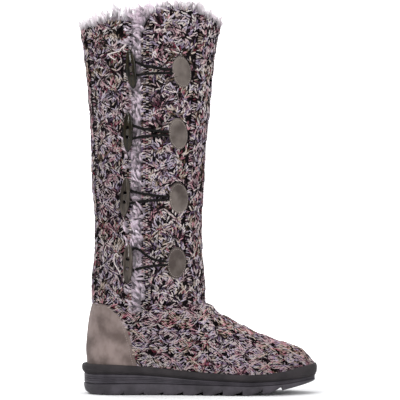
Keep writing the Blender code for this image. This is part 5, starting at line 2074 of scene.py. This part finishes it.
def make_sole(settings):
    """Outsole with its tread, midsole with its ribs, and the welt with its bead."""
    places = sole_places()
    rubber = rubber_look("grey_rubber", *shades(settings, "outsole"), 0.52, 900.0, 0.00012)
    bottom = layer_rings(OUTSOLE_LOOK, floor_line, groove_line, places)
    height = OUTSOLE_LOOK["height"][:, None]
    bottom[..., 2] += np.where(height < 0.6, tread(bottom[..., 0]) * (1 - height), 0)
    piece = add_slab("tread_sole", bottom, rubber, "rubber", sharp=35)
    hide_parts("outsole")
    foam = rubber_look("grey_midsole", *shades(settings, "midsole"), 0.46, 1300.0, 0.00006)
    rings = layer_rings(MIDSOLE_LOOK, lambda x: groove_line(x) + GAP, footbed_line, places)
    piece = add_slab("ribbed_midsole", rings, foam, "foam", sharp=35)
    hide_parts("midsole")
    foxing = rubber_look("charcoal_welt", *shades(settings, "welt"), 0.74, 1500.0, 0.0003)
    outer = layer_rings(WELT_LOOK, lambda x: footbed_line(x) + GAP, welt_line, places)
    edge = placed_edge(WELT_INSET, places)
    low, high = footbed_line(edge[:, 0]) + GAP, welt_line(edge[:, 0])
    inner = [np.column_stack([edge, low + share * (high - low)]) for share in (0.97, 0.0)]
    rings = np.concatenate([outer, np.array(inner)])
    piece = add_tube("beaded_welt", rings, foxing, "foxing", sharp=50)
    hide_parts("welt")


# Stage
def make_stage(settings):
    """A pale floor that curves up far behind the boot, soft lights round it, and the camera."""
    turn = np.linspace(0, math.pi / 2, 24)
    back = FLOOR_BEND + FLOOR_RADIUS
    y = np.concatenate([[-FLOOR_HALF], FLOOR_BEND + FLOOR_RADIUS * np.sin(turn), [back]])
    z = np.concatenate([[0.0], FLOOR_RADIUS * (1 - np.cos(turn)), [WALL_TOP]]) - FLOOR_DROP
    sides = [np.stack([0 * y + x, y, z], -1) for x in (-FLOOR_HALF, FLOOR_HALF)]
    faces = grid_faces(2, len(y))[:, ::-1]
    mesh = bpy.data.meshes.new("backdrop")
    mesh.from_pydata(np.concatenate(sides).tolist(), [], faces.tolist())
    mesh.shade_smooth()
    look = Look("backdrop", 0.9, specular=0.1)
    away = look.parts(look.place())[1].ramp(0.12, 1.0)
    glow = look.mix(away, (0.0, 0.0, 0.0, 1.0), (1.0, 1.0, 1.0, 1.0))
    look.join(look.shader.inputs["Emission Color"], glow)
    look.shader.inputs["Emission Strength"].default_value = FLOOR_GLOW
    mesh.materials.append(look.finish(settings.floor))
    backdrop = linked("backdrop", mesh)
    for label, (spot, target, size, power) in LAMPS.items():
        data = bpy.data.lights.new(label, "AREA")
        data.shape = "RECTANGLE"
        data.size, data.size_y = size
        data.energy = power
        lamp = linked(label, data)
        lamp.location = spot
        lamp.rotation_euler = (Vector(target) - Vector(spot)).to_track_quat("-Z", "Y").to_euler()
    world = bpy.data.worlds.new("studio")
    world.use_nodes = True
    sky = world.node_tree.nodes["Background"].inputs
    sky["Color"].default_value = SKY
    sky["Strength"].default_value = SKY_STRENGTH
    bpy.context.scene.world = world
    lens = bpy.data.cameras.new("camera")
    lens.lens = CAMERA_LENS
    lens.sensor_width = 36.0
    lens.clip_end = 30.0
    camera = linked("camera", lens)
    camera.location = (CAMERA_X, -CAMERA_DISTANCE, CAMERA_HEIGHT)
    camera.rotation_euler = (math.pi / 2, 0.0, 0.0)
    bpy.context.scene.camera = camera
    bpy.context.scene.view_settings.view_transform = "Standard"


# Settings that a user would change
class BootKnitSettings(PropertyGroup):
    """Sizes of the knit's stitches, and the shades of the yarn's plies and of its ground, which is
    painted shade between the stitches.
    """

    course: FloatProperty(
        name="Row height",
        description="Height of one row of stitches",
        default=0.0028,
        min=0.002,
        unit="LENGTH",
    )
    relief: FloatProperty(
        name="Relief", description="Depth of the cables", default=0.0026, min=0.0005, unit="LENGTH"
    )
    rose_plain: shade("Rose yarn's plain ply", 112, 60, 80)
    rose_light: shade("Rose yarn's light ply", 224, 174, 184)
    plum_plain: shade("Plum yarn's plain ply", 92, 70, 78)
    plum_light: shade("Plum yarn's light ply", 238, 214, 214)
    pink_plain: shade("Pink yarn's plain ply", 148, 110, 124)
    pink_light: shade("Pink yarn's light ply", 250, 238, 234)
    lilac_plain: shade("Lilac yarn's plain ply", 130, 108, 140)
    lilac_light: shade("Lilac yarn's light ply", 224, 214, 230)
    grey_plain: shade("Grey yarn's plain ply", 104, 92, 96)
    grey_light: shade("Grey yarn's light ply", 250, 242, 238)
    sand_plain: shade("Sand yarn's plain ply", 120, 100, 82)
    sand_light: shade("Sand yarn's light ply", 234, 218, 204)
    wine_plain: shade("Wine yarn's plain ply", 126, 52, 70)
    wine_light: shade("Wine yarn's light ply", 218, 162, 170)
    # Painted shade: the ground's near-black colour stands in for the shade in the gaps between stitches
    ground: shade("Ground between stitches", 16, 12, 14)
    speck_deep: shade("Ground's deeper specks", 112, 74, 88)
    speck_light: shade("Ground's lighter specks", 204, 186, 188)


class BootFurSettings(PropertyGroup):
    """Number, size and shades of the fur's strands, and the shades of the skin below them."""

    collar_strands: IntProperty(
        name="Collar strands", description="Strands round the collar", default=8400, min=100
    )
    slit_strands: IntProperty(
        name="Slit strands", description="Strands in the side slit", default=6400, min=100
    )
    fur_length: FloatProperty(
        name="Fur length",
        description="Length of the longest strands",
        default=0.014,
        min=0.002,
        unit="LENGTH",
    )
    strand: FloatProperty(
        name="Strand width",
        description="Width of a strand at its root",
        default=0.0007,
        min=0.0001,
        unit="LENGTH",
    )
    cool: shade("Cool strands", 248, 240, 248)
    warm: shade("Warm strands", 240, 228, 232)
    deep: shade("Deep strands", 146, 130, 140)
    slit_tint: shade("Slit fur's tint", 242, 230, 240)
    skin_deep: shade("Fleece's deep shade", 96, 85, 92)
    skin_light: shade("Fleece's light shade", 176, 164, 173)


class BootSuedeSettings(PropertyGroup):
    """Shades of the suede pieces and of their threads."""

    counter_deep: shade("Heel counter's deep shade", 90, 78, 74)
    counter_light: shade("Heel counter's light shade", 131, 117, 113)
    oval_deep: shade("Ovals' deep shade", 66, 58, 55)
    oval_light: shade("Ovals' light shade", 103, 95, 90)
    counter_thread_deep: shade("Counter thread's deep shade", 96, 84, 80)
    counter_thread_light: shade("Counter thread's light shade", 150, 138, 132)
    oval_thread_deep: shade("Oval thread's deep shade", 92, 82, 78)
    oval_thread_light: shade("Oval thread's light shade", 168, 156, 148)


class BootClosureSettings(PropertyGroup):
    """Fineness of the cords, and the shades of toggles, cords and twine."""

    cord_step: FloatProperty(
        name="Cord step",
        description="Distance between a cord's sections",
        default=0.0005,
        min=0.0002,
        unit="LENGTH",
    )
    horn_deep: shade("Upper toggles' deep shade", 10, 8, 5)
    horn_light: shade("Upper toggles' light shade", 38, 32, 19)
    low_horn_deep: shade("Lower toggles' deep shade", 44, 38, 34)
    low_horn_light: shade("Lower toggles' light shade", 84, 75, 69)
    cord_deep: shade("Cords' deep shade", 4, 4, 4)
    cord_light: shade("Cords' light shade", 28, 26, 25)
    twine_deep: shade("Twine's deep shade", 26, 22, 16)
    twine_light: shade("Twine's light shade", 72, 62, 50)
    yarn_end_deep: shade("Yarn ends' deep shade", 168, 156, 154)
    yarn_end_light: shade("Yarn ends' light shade", 226, 216, 214)


class BootSoleSettings(PropertyGroup):
    """Shades of the sole's layers."""

    outsole_deep: shade("Outsole's deep shade", 53, 50, 54)
    outsole_light: shade("Outsole's light shade", 72, 68, 74)
    midsole_deep: shade("Midsole's deep shade", 49, 46, 51)
    midsole_light: shade("Midsole's light shade", 71, 67, 73)
    welt_deep: shade("Welt's deep shade", 38, 35, 37)
    welt_light: shade("Welt's light shade", 52, 48, 50)


class BootStageSettings(PropertyGroup):
    """Shade of the floor."""

    floor: shade("Floor", 244, 244, 245)


class BootOperator:
    """Shared part of the boot's operators: they can be undone."""

    bl_options = {"REGISTER", "UNDO"}


class BOOT_OT_linings(BootOperator, Operator):
    """Add the knit's ground of painted shade, the fleece lining and the footbed"""

    bl_idname = "boot.linings"
    bl_label = "Linings"

    def execute(self, context):
        make_linings(context.scene.boot_knit, context.scene.boot_fur)
        make_footbed(context.scene.boot_fur)
        return {"FINISHED"}


class BOOT_OT_knit(BootOperator, Operator):
    """Add the cable knit as stitches"""

    bl_idname = "boot.knit"
    bl_label = "Cable knit"

    def execute(self, context):
        make_knit(context.scene.boot_knit)
        return {"FINISHED"}


class BOOT_OT_fur(BootOperator, Operator):
    """Add the fur at the collar and in the slit"""

    bl_idname = "boot.fur"
    bl_label = "Fur"

    def execute(self, context):
        make_collar_fur(context.scene.boot_fur)
        make_slit_fur(context.scene.boot_fur)
        return {"FINISHED"}


class BOOT_OT_suede(BootOperator, Operator):
    """Add the heel counter and the four ovals"""

    bl_idname = "boot.suede"
    bl_label = "Suede pieces"

    def execute(self, context):
        make_counter(context.scene.boot_suede)
        make_patches(context.scene.boot_suede)
        return {"FINISHED"}


class BOOT_OT_closures(BootOperator, Operator):
    """Add the toggles with their twine, and the cords"""

    bl_idname = "boot.closures"
    bl_label = "Toggles and cords"

    def execute(self, context):
        make_toggles(context.scene.boot_closures)
        make_cords(context.scene.boot_closures)
        return {"FINISHED"}


class BOOT_OT_sole(BootOperator, Operator):
    """Add the outsole, the midsole and the welt"""

    bl_idname = "boot.sole"
    bl_label = "Sole"

    def execute(self, context):
        make_sole(context.scene.boot_sole)
        return {"FINISHED"}


class BOOT_OT_stage(BootOperator, Operator):
    """Add the backdrop, the lights and the camera"""

    bl_idname = "boot.stage"
    bl_label = "Stage"

    def execute(self, context):
        make_stage(context.scene.boot_stage)
        return {"FINISHED"}


class BOOT_PT_panel(Panel):
    """Lists the boot's settings and operators"""

    bl_label = "Knitted boot"
    bl_idname = "BOOT_PT_panel"
    bl_space_type = "VIEW_3D"
    bl_region_type = "UI"
    bl_category = "Boot"

    def draw(self, context):
        for group in GROUPS:
            settings = getattr(context.scene, group)
            box = self.layout.box()
            box.label(text=group.removeprefix("boot_").capitalize())
            for name in settings.__annotations__:
                box.prop(settings, name)
        for operator in OPERATORS:
            self.layout.operator(operator.bl_idname)


GROUPS = {
    "boot_knit": BootKnitSettings,
    "boot_fur": BootFurSettings,
    "boot_suede": BootSuedeSettings,
    "boot_closures": BootClosureSettings,
    "boot_sole": BootSoleSettings,
    "boot_stage": BootStageSettings,
}
OPERATORS = (
    BOOT_OT_linings,
    BOOT_OT_knit,
    BOOT_OT_fur,
    BOOT_OT_suede,
    BOOT_OT_closures,
    BOOT_OT_sole,
    BOOT_OT_stage,
)
CLASSES = (*GROUPS.values(), *OPERATORS, BOOT_PT_panel)


def register():
    for made in CLASSES:
        bpy.utils.register_class(made)
    for name, group in GROUPS.items():
        setattr(bpy.types.Scene, name, PointerProperty(type=group))


def unregister():
    for name in GROUPS:
        delattr(bpy.types.Scene, name)
    for made in reversed(CLASSES):
        bpy.utils.unregister_class(made)


def main():
    register()
    bpy.ops.boot.linings()
    bpy.ops.boot.knit()
    bpy.ops.boot.fur()
    bpy.ops.boot.suede()
    bpy.ops.boot.closures()
    bpy.ops.boot.sole()
    bpy.ops.boot.stage()


if __name__ == "__main__":
    main()
